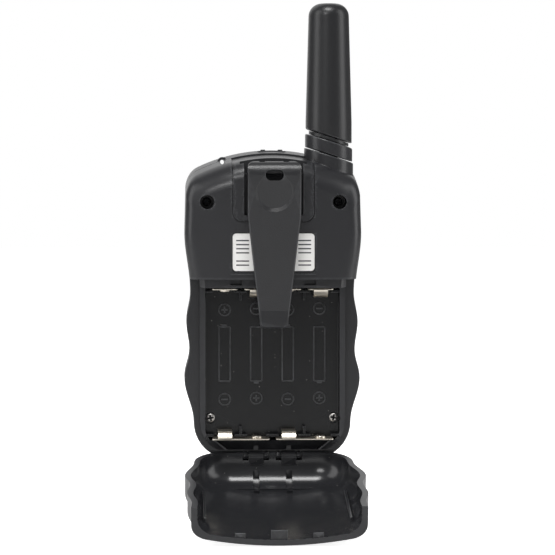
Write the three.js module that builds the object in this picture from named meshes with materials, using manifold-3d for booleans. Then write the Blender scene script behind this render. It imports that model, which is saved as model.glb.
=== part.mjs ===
// Hand-held two-way radio, seen standing: +Z up along the antenna, back cover and belt clip towards +Y,
// speaker, display and keys towards -Y. Millimetres. The origin is the middle of the flat bottom, z = 0.
import * as THREE from "three";
import { mergeVertices } from "three/addons/utils/BufferGeometryUtils.js";
import Module from "manifold-3d";

const wasm = await Module();
wasm.setup();

// ---------------------------------------------------------------- driving dimensions

const CLEAR = 0.3; // gap left between neighbouring pieces
const WALL = 2.0; // moulded wall of the two housings and the door
const OVER = 1.0; // how far a cutter runs past the face it opens

const BODY = {
  height: 107.3,
  halfWidth: 30.4,
  front: -14, // outer front face
  back: 13, // outer back face
  seam: 0.2, // plane where the two housings meet
  flange: 2.0, // back of the rear housing's flange, which the door closes on
  bottomCorner: 13,
  crown: 60, // radius of the arched top
  crest: -5, // the arched top is highest here and falls towards the back
  crownFall: 0.2,
  sideRound: 4.5,
  topRound: 7,
  frontRound: 4,
  bulge: 2.6, // the back face is crowned this far across its width
};

// Finger grip: how far each crest and hollow lies inside the full half-width, from the bottom corner up.
const GRIP = [
  { z: BODY.bottomCorner, in: 3.1 },
  { z: 28.4, in: -0.1 },
  { z: 38.1, in: 1.65 },
  { z: 47.8, in: 0.6 },
  { z: 58.0, in: 2.0 },
  { z: 79.0, in: 0.0 },
];
const SHOULDER = { start: 12.3, lean: 0.4, control: 7.4,
  span: 4.9 }; // below the top, and inside the side

const CELL = { d: 10.5, length: 44.5, pitch: 11.0, count: 4, polarity: [1, -1, 1, -1] };

const TUB = {
  halfWidth: (CELL.pitch * CELL.count) / 2 + 1.25,
  bottom: 7.0,
  length: CELL.length + 8.5,
  floor: 0.0, // Y of the floor that the cells lie on
  floorWall: 1.6,
  rim: 5.0, // Y of the side walls' top
  rimWall: 1.9,
  cornerWall: 1.2, // round the screws in the lower corners
  ledge: 3.0, // height of the step that the door's free end rests on
  ledgeTop: 10.8,
};
const DOOR = { top: TUB.bottom + TUB.length + TUB.ledge - CLEAR, endRound: 8, rimChamfer: 0.9,
  open: 100 };
const HINGE = { y: 3.5, z: 1.4, r: 1.35, peg: 0.65, knuckle: 5.2, spread: 5.7, ear: 1.4 };
const LATCH = { tabWidth: 3.4, spread: 12.7, noseWidth: 5.4, thick: 1.0, drop: 2.3 };

const PLATE_HALF = 11.2; // half-width of the clip's slide plate
const CLIP = {
  plateHalf: PLATE_HALF,
  plateThick: 1.4,
  bossHalf: PLATE_HALF + 2.55,
  mouthHalf: PLATE_HALF - 1.1,
  bossBottom: BODY.height - 24.3,
  bossRise: 0.6,
  channelFloor: BODY.back - 2.8, // Y of the floor that the slide plate runs on
  channelLip: BODY.back - 0.7, // Y of the rails' inner faces
  tongueTop: BODY.height - 5.1,
  bendTop: BODY.height - 3.9,
  bendSplit: BODY.back + 4.8, // Y where the bend gives when the tongue is lifted
  tongueLength: 55.6,
  tongueHalf: 9.05,
  shoulderLength: 17.5, // straight part of the tongue below its top
  tipHalf: 4.9,
  thick: 2.2,
  reach: 11.0, // outer face of the tongue at its top, above the back cover
  tipReach: 6.4,
  slotNear: 3.1, // two slots part the bend into three straps
  slotFar: 5.1,
  dishR: 6.9, // thumb dish
  dishDrop: 9.0, // its centre below the tongue's top
  dishDepth: 1.1,
};

const ANTENNA = {
  x: 10.7 - BODY.halfWidth,
  y: -0.6,
  slope: 17.5, // degrees, falling towards the outer side
  tip: BODY.height + 50.7,
  topR: 7.0,
  baseR: 8.0,
  sheathBottom: BODY.height + 5.3,
  neckR: 7.1,
  ringR: 8.2,
  ringTop: BODY.height + 3.2,
  ringBottom: BODY.height - 1.4,
  collarTop: BODY.height - 1.8,
  collarR: 8.5,
  coreR: 3.2,
  foot: BODY.height - 12.3, // bottom of the core, inside the case
  footRise: 4.0,
  coilR: 4.6,
  coilWire: 0.45,
  coilTurns: 9,
};

const LABEL = { width: 28.0, height: 12.8, bottom: 66.0, thick: 0.2, recess: 0.5, r: 1.2 };
const WELL = { x: BODY.halfWidth - 7.7, z: BODY.height - 17.8, r: 2.4, floor: 4.0 };
const LOWSCREW = { x: TUB.halfWidth - 1.85, z: TUB.bottom + 7.3, r: 1.9 };
const SCREW = { headR: 1.5, headH: 1.2, shankR: 1.0, pilotR: 1.3, bossR: 2.9 };

const WINDOW = { width: 27, height: 19, bottom: BODY.height - 36.3, r: 2.5, thick: 1.2, border: 1.6 };
const LCD = { thick: 1.8, holder: 1.4 };
const KEYS = { y: BODY.front, travel: 0.5, proud: 0.4, flange: 0.8, matBottom: 42.4, matTop: 66.5 };
const SPEAKER = { z: 25, r: 14, depth: 4.6, magnetR: 6.5, magnetDepth: 2.4, coneR: 12 };
const BOARD = { y: -4.6, thick: 1.2, halfWidth: BODY.halfWidth - 5.9, bottom: 5.0,
  top: BODY.height - 8.3 };
const CORDEYE = { x: 17.2, z: BODY.height - 4.1, r: 1.75, hole: 1.2, y: -2.5, deep: 2.4 };
const MIC = { x: 15.5, z: 37, r: 3, depth: 2.4 };
const JACK = { y: -6, r: 2.6, coverHalf: 4.6, coverDeep: 6.4, coverSeat: 1.9, coverThick: 1.4,
  bottom: BODY.height - 13.3 };
const BOARDSCREW = { x: BODY.halfWidth - 8.6, z: 66.5, postR: 2.4 };
const CONTACT = { thick: 0.4, gap: 0.4, half: 4.4, leafHalf: 2.45, leafReach: 2.4, bumpR: 1.9, bump: 0.8,
  tab: 0.9 };
const RIB = { thick: 0.9, half: 2.2, rise: 5.0 };
const LEAD = { r: 0.5 };
const PTT = { bottom: 66, length: 18, y: -4.6, width: 6.2, travel: 0.7, r: 2.6, proud: 0.25 };

// ---------------------------------------------------------------- finishes

const finish = (color, roughness, metalness = 0) => ({ color, roughness, metalness });
const FINISH = {
  shell: finish(0x33353a, 0.5),
  clip: finish(0x2f3033, 0.6),
  rubber: finish(0x242528, 0.8),
  key: finish(0x4a4d52, 0.6),
  label: finish(0xe4e2da, 0.5),
  nickel: finish(0xc9c4b8, 0.3, 1),
  steel: finish(0x8c8c8a, 0.35, 1),
  brass: finish(0xc2a25a, 0.35, 1),
  clear: finish(0x20262a, 0.08),
  glass: finish(0x8b9a86, 0.2),
  board: finish(0x1f5a38, 0.45),
  chip: finish(0x1b1b1d, 0.55),
  white: finish(0xe8e8e6, 0.5),
  magnet: finish(0x55565a, 0.4, 1),
  cone: finish(0x1d1d1f, 0.8),
  leadRed: finish(0xa32020, 0.5),
  leadBlack: finish(0x1a1a1a, 0.5),
};

// ---------------------------------------------------------------- solids

const radio = new THREE.Group();

function signedVolume(position, index) {
  const [a, b, c] = [new THREE.Vector3(), new THREE.Vector3(), new THREE.Vector3()];
  let six = 0;
  for (let i = 0; i < index.count; i += 3) {
    a.fromBufferAttribute(position, index.getX(i));
    b.fromBufferAttribute(position, index.getX(i + 1));
    c.fromBufferAttribute(position, index.getX(i + 2));
    six += a.dot(b.cross(c));
  }
  return six / 6;
}

// A closed three.js geometry as a manifold solid, its faces turned outwards.
function solid(geometry) {
  geometry.deleteAttribute("normal");
  geometry.deleteAttribute("uv");
  const merged = mergeVertices(geometry, 1e-4);
  const corners = Array.from(merged.index.array);
  const triVerts = Uint32Array.from(corners.filter((_, i) => {
    const [a, b, c] = corners.slice(i - (i % 3), i - (i % 3) + 3);
    return a !== b && b !== c && c !== a;
  }));
  if (signedVolume(merged.attributes.position, merged.index) < 0) {
    for (let i = 0; i < triVerts.length; i += 3) {
      [triVerts[i], triVerts[i + 1]] = [triVerts[i + 1], triVerts[i]];
    }
  }
  const vertProperties = Float32Array.from(merged.attributes.position.array);
  return new wasm.Manifold(new wasm.Mesh({ numProp: 3, vertProperties, triVerts }));
}

function box([x0, x1], [y0, y1], [z0, z1]) {
  const geometry = new THREE.BoxGeometry(x1 - x0, y1 - y0, z1 - z0);
  return solid(geometry.translate((x0 + x1) / 2, (y0 + y1) / 2, (z0 + z1) / 2));
}

// Local X, Y and Z of an outline's extrusion, in the radio's axes.
const ALONG = {
  x: new THREE.Matrix4().makeBasis(axis(0, 1, 0), axis(0, 0, 1), axis(1, 0, 0)),
  y: new THREE.Matrix4().makeBasis(axis(0, 0, 1), axis(1, 0, 0), axis(0, 1, 0)),
  z: new THREE.Matrix4(),
};

function axis(x, y, z) {
  return new THREE.Vector3(x, y, z);
}

// An outline pushed along x, y or z. Points are [y, z], [z, x] or [x, y], which keeps the axes
// right-handed.
function prism(along, points, from, to) {
  const shape = points instanceof THREE.Shape ? points : new THREE.Shape(points.map(([u, v]) => vec(u,
    v)));
  const geometry = new THREE.ExtrudeGeometry(shape,
    { depth: to - from, bevelEnabled: false, curveSegments: 4 });
  return solid(geometry.translate(0, 0, from).applyMatrix4(ALONG[along]));
}

function vec(u, v) {
  return new THREE.Vector2(u, v);
}

// A cylinder or cone frustum along x, y or z. centre holds the two coordinates in prism's order.
function rod(along, [u, v], r, from, to, segments = 24, rEnd = r) {
  const geometry = new THREE.CylinderGeometry(rEnd, r, to - from, segments);
  geometry.rotateX(Math.PI / 2).translate(u, v, (from + to) / 2);
  return solid(geometry.applyMatrix4(ALONG[along]));
}

// A shape turned round the vertical through (x, y). profile holds [radius, z] and starts and ends
// on the axis.
function turned(profile, [x, y], segments = 32) {
  const geometry = new THREE.LatheGeometry(profile.map(([r, z]) => vec(r, z)), segments);
  return solid(geometry.rotateX(Math.PI / 2).translate(x, y, 0));
}

// A rectangle with round corners, as a shape whose first axis runs from u0 to u1.
function roundRect([u0, u1], [v0, v1], r) {
  const shape = new THREE.Shape();
  shape.absarc(u1 - r, v0 + r, r, -Math.PI / 2, 0);
  shape.absarc(u1 - r, v1 - r, r, 0, Math.PI / 2);
  shape.absarc(u0 + r, v1 - r, r, Math.PI / 2, Math.PI);
  shape.absarc(u0 + r, v0 + r, r, Math.PI, 1.5 * Math.PI);
  return shape;
}

// A closed body through rings of equal point count, each { y, ring: [[x, z], ...] }, with flat ends.
// A point's third number, if it has one, is its own y.
function loft(sections) {
  const count = sections[0].ring.length;
  const positions = sections.flatMap(({ y, ring }) => ring.flatMap(([x, z, own = y]) => [x, own, z]));
  const index = [];
  for (let s = 0; s + 1 < sections.length; s += 1) {
    for (let i = 0; i < count; i += 1) {
      const j = (i + 1) % count;
      const [a, b, c, d] = [s * count + i, s * count + j, (s + 1) * count + j, (s + 1) * count + i];
      index.push(a, b, c, a, c, d);
    }
  }
  const last = (sections.length - 1) * count;
  const cap = (section) => THREE.ShapeUtils.triangulateShape(section.ring.map(([x, z]) => vec(x, z)), []);
  cap(sections[0]).forEach(([a, b, c]) => index.push(c, b, a));
  cap(sections[sections.length - 1]).forEach(([a, b, c]) => index.push(last + a, last + b, last + c));
  const geometry = new THREE.BufferGeometry();
  geometry.setAttribute("position", new THREE.Float32BufferAttribute(positions, 3));
  geometry.setIndex(index);
  return solid(geometry);
}

// A wire or strip section carried along a smooth curve through points.
function wire(points, r, sides = 6, steps = 12) {
  const section = new THREE.Shape();
  section.absarc(0, 0, r, 0, 2 * Math.PI);
  const ring = section.getSpacedPoints(sides).slice(0, sides);
  const extrudePath = new THREE.CatmullRomCurve3(points.map(([x, y, z]) => axis(x, y, z)));
  return solid(new THREE.ExtrudeGeometry(new THREE.Shape(ring),
    { steps, extrudePath, bevelEnabled: false }));
}

const both = (make) => make(-1).add(make(1));
const joined = (pieces) => pieces.reduce((sum, piece) => sum.add(piece));

function place(name, piece, look, parent = radio) {
  const mesh = piece.getMesh();
  const geometry = new THREE.BufferGeometry();
  geometry.setAttribute("position", new THREE.BufferAttribute(mesh.vertProperties, 3));
  geometry.setIndex(new THREE.BufferAttribute(mesh.triVerts, 1));
  geometry.computeVertexNormals();
  const part = new THREE.Mesh(geometry, new THREE.MeshStandardMaterial(look));
  part.name = name;
  parent.add(part);
}

// ---------------------------------------------------------------- the case's outline

// Half-width of the case at height z, between the bottom corner and the shoulder.
function halfWidthAt(z) {
  const next = GRIP.findIndex((point) => point.z > z);
  if (next < 0) return BODY.halfWidth - GRIP[GRIP.length - 1].in;
  if (next === 0) return BODY.halfWidth - GRIP[0].in;
  const [low, high] = [GRIP[next - 1], GRIP[next]];
  const ease = (1 - Math.cos((Math.PI * (z - low.z)) / (high.z - low.z))) / 2;
  return BODY.halfWidth - low.in - (high.in - low.in) * ease;
}

// The case seen from the back, as [x, z] points, drawn in by the given amounts.
function outline(side = 0, top = side, bottom = side) {
  const half = [];
  const flat = BODY.halfWidth - GRIP[0].in - BODY.bottomCorner;
  for (let step = 0; step < 6; step += 1) {
    const a = (-Math.PI / 2) * (1 - step / 6);
    const rise = (BODY.bottomCorner - bottom) * Math.sin(a);
    half.push([flat + (BODY.bottomCorner - side) * Math.cos(a), BODY.bottomCorner + rise]);
  }
  for (let i = 0; i + 1 < GRIP.length; i += 1) {
    for (let step = 0; step < 4; step += 1) {
      const z = GRIP[i].z + ((GRIP[i + 1].z - GRIP[i].z) * step) / 4;
      half.push([halfWidthAt(z) - side, z]);
    }
  }
  const last = GRIP[GRIP.length - 1];
  half.push([BODY.halfWidth - side, last.z]);
  const crownCentre = BODY.height - BODY.crown;
  const crownR = BODY.crown - top;
  const cornerX = BODY.halfWidth - SHOULDER.span - side;
  const cornerZ = crownCentre + Math.sqrt(crownR * crownR - cornerX * cornerX);
  const corner = new THREE.QuadraticBezierCurve(
    vec(BODY.halfWidth - SHOULDER.lean - side, BODY.height - SHOULDER.start - top),
    vec(BODY.halfWidth - 3 * SHOULDER.lean - side, BODY.height - SHOULDER.control - top),
    vec(cornerX, cornerZ),
  );
  corner.getPoints(4).forEach((point) => half.push([point.x, point.y]));
  const swing = Math.asin(cornerX / crownR);
  for (let step = 1; step <= 4; step += 1) {
    const a = swing * (1 - step / 4);
    half.push([crownR * Math.sin(a), crownCentre + crownR * Math.cos(a)]);
  }
  const left = half.slice(0, -1).reverse().map(([x, z]) => [-x, z]);
  return [...half, ...left];
}

// How far a quarter-round edge of radius r has drawn in, at depth below its start.
const roundIn = (r, depth) => r - Math.sqrt(Math.max(r * r - depth * depth, 0));

// How far the arched top has fallen below its crest at y.
const crownDrop = (y) => BODY.crownFall * Math.max(y - BODY.crest, 0);

// How far the crowned back face stands above its sides at x.
const backRise = (x) => BODY.bulge * Math.max(1 - (x / (BODY.halfWidth - BODY.sideRound)) ** 2, 0);

// A body of the case's outline whose back end is crowned across its width.
function crowned(sections) {
  const last = sections[sections.length - 1];
  const lifted = ({ y, ring }) => {
    const share = Math.max(y - BODY.flange, 0) / (last.y - BODY.flange);
    return { y, ring: ring.map(([x, z]) => [x, z, y + share * backRise(x)]) };
  };
  const narrowed = [0.78, 0.56, 0.34, 0.12, 0.01].map((share) => ({
    y: last.y,
    ring: last.ring.map(([x, z]) => [x * share, z]),
  }));
  return loft([...sections, ...narrowed].map(lifted));
}

// The case's outer body between two planes of y, with its back edge rounded at the sides and the top.
function backBody(from, inset = 0, top = BODY.back - inset, topRound = BODY.topRound) {
  const depths = [0, 0.35, 0.62, 0.82, 0.95, 1].map((share) => top - BODY.topRound * (1 - share));
  const drawn = (r, y) => inset + roundIn(r, Math.max(y - top + r, 0));
  return crowned([from, ...depths].map((y) => ({
    y,
    ring: outline(drawn(BODY.sideRound, y), drawn(topRound, y) + crownDrop(y)),
  })));
}

// The closed door's tray: the case's round edges carried on down and round the bottom.
function doorTray(from, inset) {
  const top = BODY.back - inset;
  const depths = [0, 0.3, 0.56, 0.78, 0.93, 1].map((share) => top - DOOR.endRound * (1 - share));
  return crowned([from, ...depths].map((y) => {
    const side = roundIn(BODY.sideRound, Math.max(y - top + BODY.sideRound, 0));
    const end = roundIn(DOOR.endRound, Math.max(y - top + DOOR.endRound, 0));
    return { y, ring: outline(inset + side, inset, inset + end) };
  }));
}

function frontBody(to, inset = 0) {
  const top = -BODY.front - inset;
  const depths = [1, 0.92, 0.72, 0.4, 0].map((share) => top - BODY.frontRound * (1 - share));
  const sections = depths.map((depth) => ({
    y: -depth,
    ring: outline(inset + roundIn(BODY.frontRound, depth - top + BODY.frontRound)),
  }));
  const crest = { y: BODY.crest, ring: outline(inset) };
  return loft([...sections, crest, { y: to, ring: outline(inset, inset + crownDrop(to)) }]);
}

// ---------------------------------------------------------------- places worked out from the dimensions

const tubTop = TUB.bottom + TUB.length; // inner face of the cell compartment's top wall
const ledgeEnd = tubTop + TUB.ledge; // the door's free edge closes against this
const wide = [-BODY.halfWidth - OVER, BODY.halfWidth + OVER];
const floorOut = TUB.floor - TUB.floorWall;
const boardBack = BOARD.y + BOARD.thick;
const slopeTan = Math.tan(THREE.MathUtils.degToRad(ANTENNA.slope));
const antennaAt = [ANTENNA.x, ANTENNA.y];
const bossY = BODY.back + CLIP.bossRise;
const cellX = (column) => (column - (CELL.count - 1) / 2) * -CELL.pitch; // column 0 is on the +X side

// The block above (or below) the antenna's slanted plane that crosses its axis at height z.
function slanted(z, up) {
  const reach = 40;
  const [left, right] = [ANTENNA.x - reach, ANTENNA.x + reach];
  const edge = (x) => z + (x - ANTENNA.x) * slopeTan;
  const far = z + (up ? 2 : -2) * reach;
  return prism("y", [[edge(left), left], [edge(right), right], [far, right], [far, left]], -reach, reach);
}

// ---------------------------------------------------------------- housings

// The antenna's collar grows out of the shoulder, half on each housing.
function collar() {
  const { foot } = ANTENNA;
  const profile = [
    [0, foot],
    [ANTENNA.collarR + 0.5, foot],
    [ANTENNA.collarR, ANTENNA.collarTop - 4],
    [ANTENNA.collarR, ANTENNA.collarTop + 6],
    [0, ANTENNA.collarTop + 6],
  ];
  return turned(profile, antennaAt, 24).subtract(slanted(ANTENNA.collarTop, true));
}

// The hollow that the antenna's core drops into, open at the collar's top.
function antennaSocket() {
  const { coreR, foot, footRise } = ANTENNA;
  const bore = rod("z", antennaAt, coreR + CLEAR, foot - 3, ANTENNA.collarTop + 8);
  return bore.add(rod("z", antennaAt, coreR + 1.6 + CLEAR, foot - 3, foot + footRise + CLEAR));
}

const keyPlaces = [
  { name: "key_menu", x: 0, z: 61, w: 9, h: 5.4 },
  { name: "key_up", x: 0, z: 53, w: 9, h: 5.4 },
  { name: "key_down", x: 0, z: 45.4, w: 9, h: 5.4 },
  { name: "key_call", x: -13.5, z: 53.5, w: 8, h: 8 },
  { name: "key_monitor", x: 13.5, z: 53.5, w: 8, h: 8 },
];

function frontHousing() {
  const outer = frontBody(BODY.seam - CLEAR / 2).add(collar().subtract(box(wide,
    [BODY.seam - CLEAR / 2, 40], [0, 140])));
  let shell = outer.subtract(frontBody(BODY.seam + OVER, WALL));
  const inside = frontBody(BODY.seam - CLEAR / 2, WALL - 0.2);
  const screwPosts = [
    ...[-1, 1].map((side) => [WELL.z, side * WELL.x, WELL.floor - WALL - CLEAR]),
    ...[-1, 1].map((side) => [LOWSCREW.z, side * LOWSCREW.x, floorOut - CLEAR]),
  ];
  for (const [z, x, top] of screwPosts) {
    shell = shell.add(rod("y", [z, x], SCREW.bossR, BODY.front + WALL / 2,
      Math.min(top, BODY.seam)).intersect(inside));
    shell = shell.subtract(rod("y", [z, x], SCREW.pilotR, BODY.front + WALL, top + OVER, 12));
  }
  for (const side of [-1, 1]) {
    const at = [BOARDSCREW.z, side * BOARDSCREW.x];
    shell = shell.add(rod("y", at, BOARDSCREW.postR, BODY.front + WALL / 2, BOARD.y - CLEAR,
      16).intersect(inside));
    shell = shell.subtract(rod("y", at, SCREW.pilotR, BODY.front + WALL, BOARD.y, 12));
  }
  shell = shell.add(collar().intersect(box(wide, [-40, BODY.seam - CLEAR / 2], [ANTENNA.foot, 140])));
  shell = shell.subtract(antennaSocket());
  const windowHalf = WINDOW.width / 2;
  const pane = roundRect([WINDOW.bottom, WINDOW.bottom + WINDOW.height], [-windowHalf, windowHalf],
    WINDOW.r);
  const sight = roundRect(
    [WINDOW.bottom + WINDOW.border, WINDOW.bottom + WINDOW.height - WINDOW.border],
    [-windowHalf + WINDOW.border, windowHalf - WINDOW.border],
    1,
  );
  shell = shell.subtract(prism("y", pane, BODY.front - OVER, BODY.front + WINDOW.thick));
  shell = shell.subtract(prism("y", sight, BODY.front - OVER, BODY.front + WALL + OVER));
  for (const key of keyPlaces) {
    const hole = roundRect([key.z - key.h / 2, key.z + key.h / 2], [key.x - key.w / 2, key.x + key.w / 2],
      2);
    shell = shell.subtract(prism("y", hole, BODY.front - OVER, BODY.front + WALL + OVER));
  }
  for (let row = -3; row <= 3; row += 1) {
    const half = Math.sqrt(SPEAKER.coneR ** 2 - (row * 3) ** 2) - 1;
    const z = SPEAKER.z + row * 3;
    shell = shell.subtract(box([-half, half], [BODY.front - OVER, BODY.front + WALL + OVER],
      [z - 0.6, z + 0.6]));
  }
  const ear = rod("y", [SPEAKER.z, 0], SPEAKER.r + CLEAR + 1.2, BODY.front + WALL / 2,
    BODY.front + WALL + 2.4, 32);
  const seat = rod("y", [SPEAKER.z, 0], SPEAKER.r + CLEAR, BODY.front + WALL, BODY.front + WALL + 4, 32);
  shell = shell.add(ear.subtract(seat).subtract(rod("y", [SPEAKER.z, 0], SPEAKER.r, BODY.front,
    BODY.front + WALL, 32)));
  shell = shell.subtract(rod("y", [MIC.z, MIC.x], 0.7, BODY.front - OVER, BODY.front + WALL + OVER, 10));
  const pttSlot = roundRect([PTT.y - PTT.width / 2, PTT.y + PTT.width / 2],
    [PTT.bottom, PTT.bottom + PTT.length], PTT.r);
  shell = shell.subtract(prism("x", pttSlot, -BODY.halfWidth - OVER, -BODY.halfWidth + 2 * WALL));
  const jackHole = rod("z", [0, JACK.y], JACK.r + CLEAR, BODY.height - 8, BODY.height + OVER, 20);
  const coverSeat = box(
    [-JACK.coverHalf - CLEAR, JACK.coverHalf + CLEAR],
    [JACK.y - JACK.coverDeep / 2 - CLEAR, JACK.y + JACK.coverDeep / 2 + CLEAR],
    [BODY.height - JACK.coverSeat, BODY.height + OVER],
  );
  return shell.subtract(jackHole).subtract(coverSeat).subtract(cordChannel()).add(cordArch());
}

// A slab of the case's outline, drawn in by inset, between two planes of y.
const slab = (inset, y0, y1) => loft([y0, y1].map((y) => ({ y, ring: outline(inset) })));

// The cell compartment: a tub whose floor lies in front of the flange and whose walls rise behind it.
function tub() {
  const half = TUB.halfWidth + TUB.rimWall;
  const side = [
    [floorOut, TUB.bottom - 2],
    [BODY.flange, BODY.flange + 0.9],
    [TUB.rim, TUB.bottom],
    [TUB.rim, tubTop + 1],
    [TUB.ledgeTop, tubTop],
    [TUB.ledgeTop, ledgeEnd + WALL / 2],
    [floorOut, ledgeEnd + WALL / 2],
  ];
  return prism("x", side, -half, half).intersect(doorTray(floorOut - OVER, WALL + CLEAR));
}

function tubHollow() {
  const room = box([-TUB.halfWidth, TUB.halfWidth], [TUB.floor, 40], [TUB.bottom, tubTop]);
  return room.intersect(slab(WALL + CLEAR + TUB.cornerWall, TUB.floor - OVER, 40));
}

// Low ribs between the cells' ends, which hold the contact plates against the compartment's end walls.
function contactRibs() {
  const spans = [-1, 0, 1].map((line) => [line * CELL.pitch - RIB.half, line * CELL.pitch + RIB.half]);
  const edge = TUB.halfWidth - CELL.pitch * 1.5 - RIB.half;
  spans.push([TUB.halfWidth - edge + 1, TUB.halfWidth + 0.5],
    [-TUB.halfWidth - 0.5, -TUB.halfWidth + edge - 1]);
  const setBack = CONTACT.gap + CONTACT.thick + CLEAR;
  const ribs = (z0) => joined(spans.map((span) => box(span, [TUB.floor - 0.5, RIB.rise],
    [z0, z0 + RIB.thick])));
  const all = ribs(tubTop - setBack - RIB.thick).add(ribs(TUB.bottom + setBack));
  return all.intersect(slab(WALL + CLEAR + TUB.cornerWall / 2, TUB.floor - OVER, 40));
}

// Slots in the compartment's top wall for the solder tabs of the two end contacts.
function tabSlots() {
  const half = CONTACT.tab + CLEAR;
  const slot = (x) => box([x - half, x + half], [TUB.floor + 0.6, TUB.floor + 2.2],
    [tubTop - OVER, ledgeEnd + WALL]);
  return slot(cellX(0)).add(slot(cellX(CELL.count - 1)));
}

// A rectangle of the back face between two depths below it.
function onBack(half, rim, r, near, far) {
  const shape = roundRect(rim, [-half, half], r);
  return prism("y", shape, 0,
    BODY.back + BODY.bulge - near).intersect(backBody(0, near)).subtract(backBody(0, far));
}

// Shallow pocket for the rating label.
function labelRecess() {
  const rim = [LABEL.bottom - CLEAR, LABEL.bottom + LABEL.height + CLEAR];
  return onBack(LABEL.width / 2 + CLEAR, rim, LABEL.r, -OVER, LABEL.recess);
}

function ratingLabel() {
  const under = LABEL.recess - 0.05;
  return onBack(LABEL.width / 2, [LABEL.bottom, LABEL.bottom + LABEL.height], LABEL.r,
    under - LABEL.thick, under);
}

// Raised pad with two rails: the clip's slide plate runs down in the channel between them.
function clipBoss() {
  const rim = [CLIP.bossBottom, BODY.height + OVER];
  const face = roundRect(rim, [-CLIP.bossHalf, CLIP.bossHalf], 3);
  const envelope = backBody(0, 0, bossY, 5);
  return prism("y", face, CLIP.channelFloor - WALL, bossY + BODY.bulge).intersect(envelope);
}

function clipChannel() {
  const runway = [CLIP.bossBottom + WALL, BODY.height + OVER];
  const wideHalf = CLIP.plateHalf + CLEAR;
  const slot = box([-wideHalf, wideHalf], [CLIP.channelFloor, CLIP.channelLip], runway);
  return slot.add(box([-CLIP.mouthHalf, CLIP.mouthHalf], [CLIP.channelFloor, bossY + BODY.bulge + OVER],
    runway));
}

// Channel across the top for a wrist cord, and the little arch over it.
function cordChannel() {
  return rod("y", [CORDEYE.z, CORDEYE.x], CORDEYE.hole, BODY.front - OVER, BODY.back + OVER, 12);
}

function cordArch() {
  const arch = rod("y", [CORDEYE.z, CORDEYE.x], CORDEYE.r, CORDEYE.y - CORDEYE.deep / 2,
    CORDEYE.y + CORDEYE.deep / 2, 16);
  return arch.subtract(cordChannel());
}

// The ears that carry the door's knuckles, and the pocket that each knuckle turns in.
function hingeEars() {
  const inner = HINGE.knuckle / 2 + CLEAR;
  const profile = [
    [BODY.seam + 0.6, 0.25],
    [HINGE.y, HINGE.z - HINGE.r + 0.1],
    [HINGE.y + HINGE.r * 0.8, HINGE.z - HINGE.r * 0.5],
    [HINGE.y + HINGE.r * 0.8, HINGE.z + HINGE.r * 0.5],
    [HINGE.y, HINGE.z + HINGE.r],
    [BODY.seam + 0.6, HINGE.z + HINGE.r],
  ];
  const ear = (x) => prism("x", profile, x - HINGE.ear / 2, x + HINGE.ear / 2);
  const pair = (middle) => both((end) => ear(middle + end * (inner + HINGE.ear / 2)));
  return both((side) => pair(side * HINGE.spread)).subtract(
    rod("x", [HINGE.y, HINGE.z], HINGE.peg + 0.2, -BODY.halfWidth, BODY.halfWidth, 16),
  );
}

function rearHousing() {
  const upper = backBody(BODY.seam + CLEAR / 2).intersect(box(wide, [-1, 40], [ledgeEnd, 140]));
  const flange = loft([BODY.seam + CLEAR / 2,
    BODY.flange].map((y) => ({ y, ring: outline(0, crownDrop(y)) })));
  const hollow = backBody(-2, WALL).intersect(box(wide, [-3, 40], [ledgeEnd + WALL, 140]));
  const collarHalf = collar().intersect(box(wide, [BODY.seam + CLEAR / 2, 40], [0, 140]));
  let shell = upper.add(flange).add(collarHalf).subtract(hollow);
  shell = shell.add(tub()).subtract(tubHollow()).add(contactRibs()).subtract(tabSlots());
  shell = shell.add(clipBoss()).subtract(clipChannel()).subtract(cordChannel());
  shell = shell.add(collarHalf.intersect(box(wide, [0, 40],
    [ANTENNA.foot, 140]))).subtract(antennaSocket());
  const lowEdge = box(wide, [BODY.flange - 0.5, BODY.flange + OVER], [-OVER, HINGE.z + HINGE.r + 0.6]);
  shell = shell.subtract(lowEdge).add(hingeEars()).subtract(labelRecess());
  for (const side of [-1, 1]) {
    const around = rod("y", [WELL.z, side * WELL.x], WELL.r + 1.4, WELL.floor - WALL,
      BODY.back + BODY.bulge);
    const wellTube = around.intersect(backBody(0, 0.5));
    shell = shell.add(wellTube).subtract(rod("y", [WELL.z, side * WELL.x], WELL.r, WELL.floor,
      BODY.back + BODY.bulge));
    shell = shell.subtract(rod("y", [WELL.z, side * WELL.x], SCREW.pilotR, 0, BODY.back, 12));
    const low = [LOWSCREW.z, side * LOWSCREW.x];
    shell = shell.subtract(rod("y", low, LOWSCREW.r, TUB.floor - 0.4, TUB.rim + OVER, 16));
    shell = shell.subtract(rod("y", low, SCREW.pilotR, floorOut - OVER, TUB.floor, 12));
  }
  for (const x of [-LATCH.spread, 0, LATCH.spread]) {
    const half = (x === 0 ? LATCH.noseWidth : LATCH.tabWidth) / 2 + CLEAR;
    const pocket = box([x - half, x + half], [TUB.ledgeTop - LATCH.drop, TUB.ledgeTop + OVER],
      [tubTop + 0.9, ledgeEnd - 0.2]);
    shell = shell.subtract(pocket);
  }
  return shell;
}

// ---------------------------------------------------------------- battery door

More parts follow.
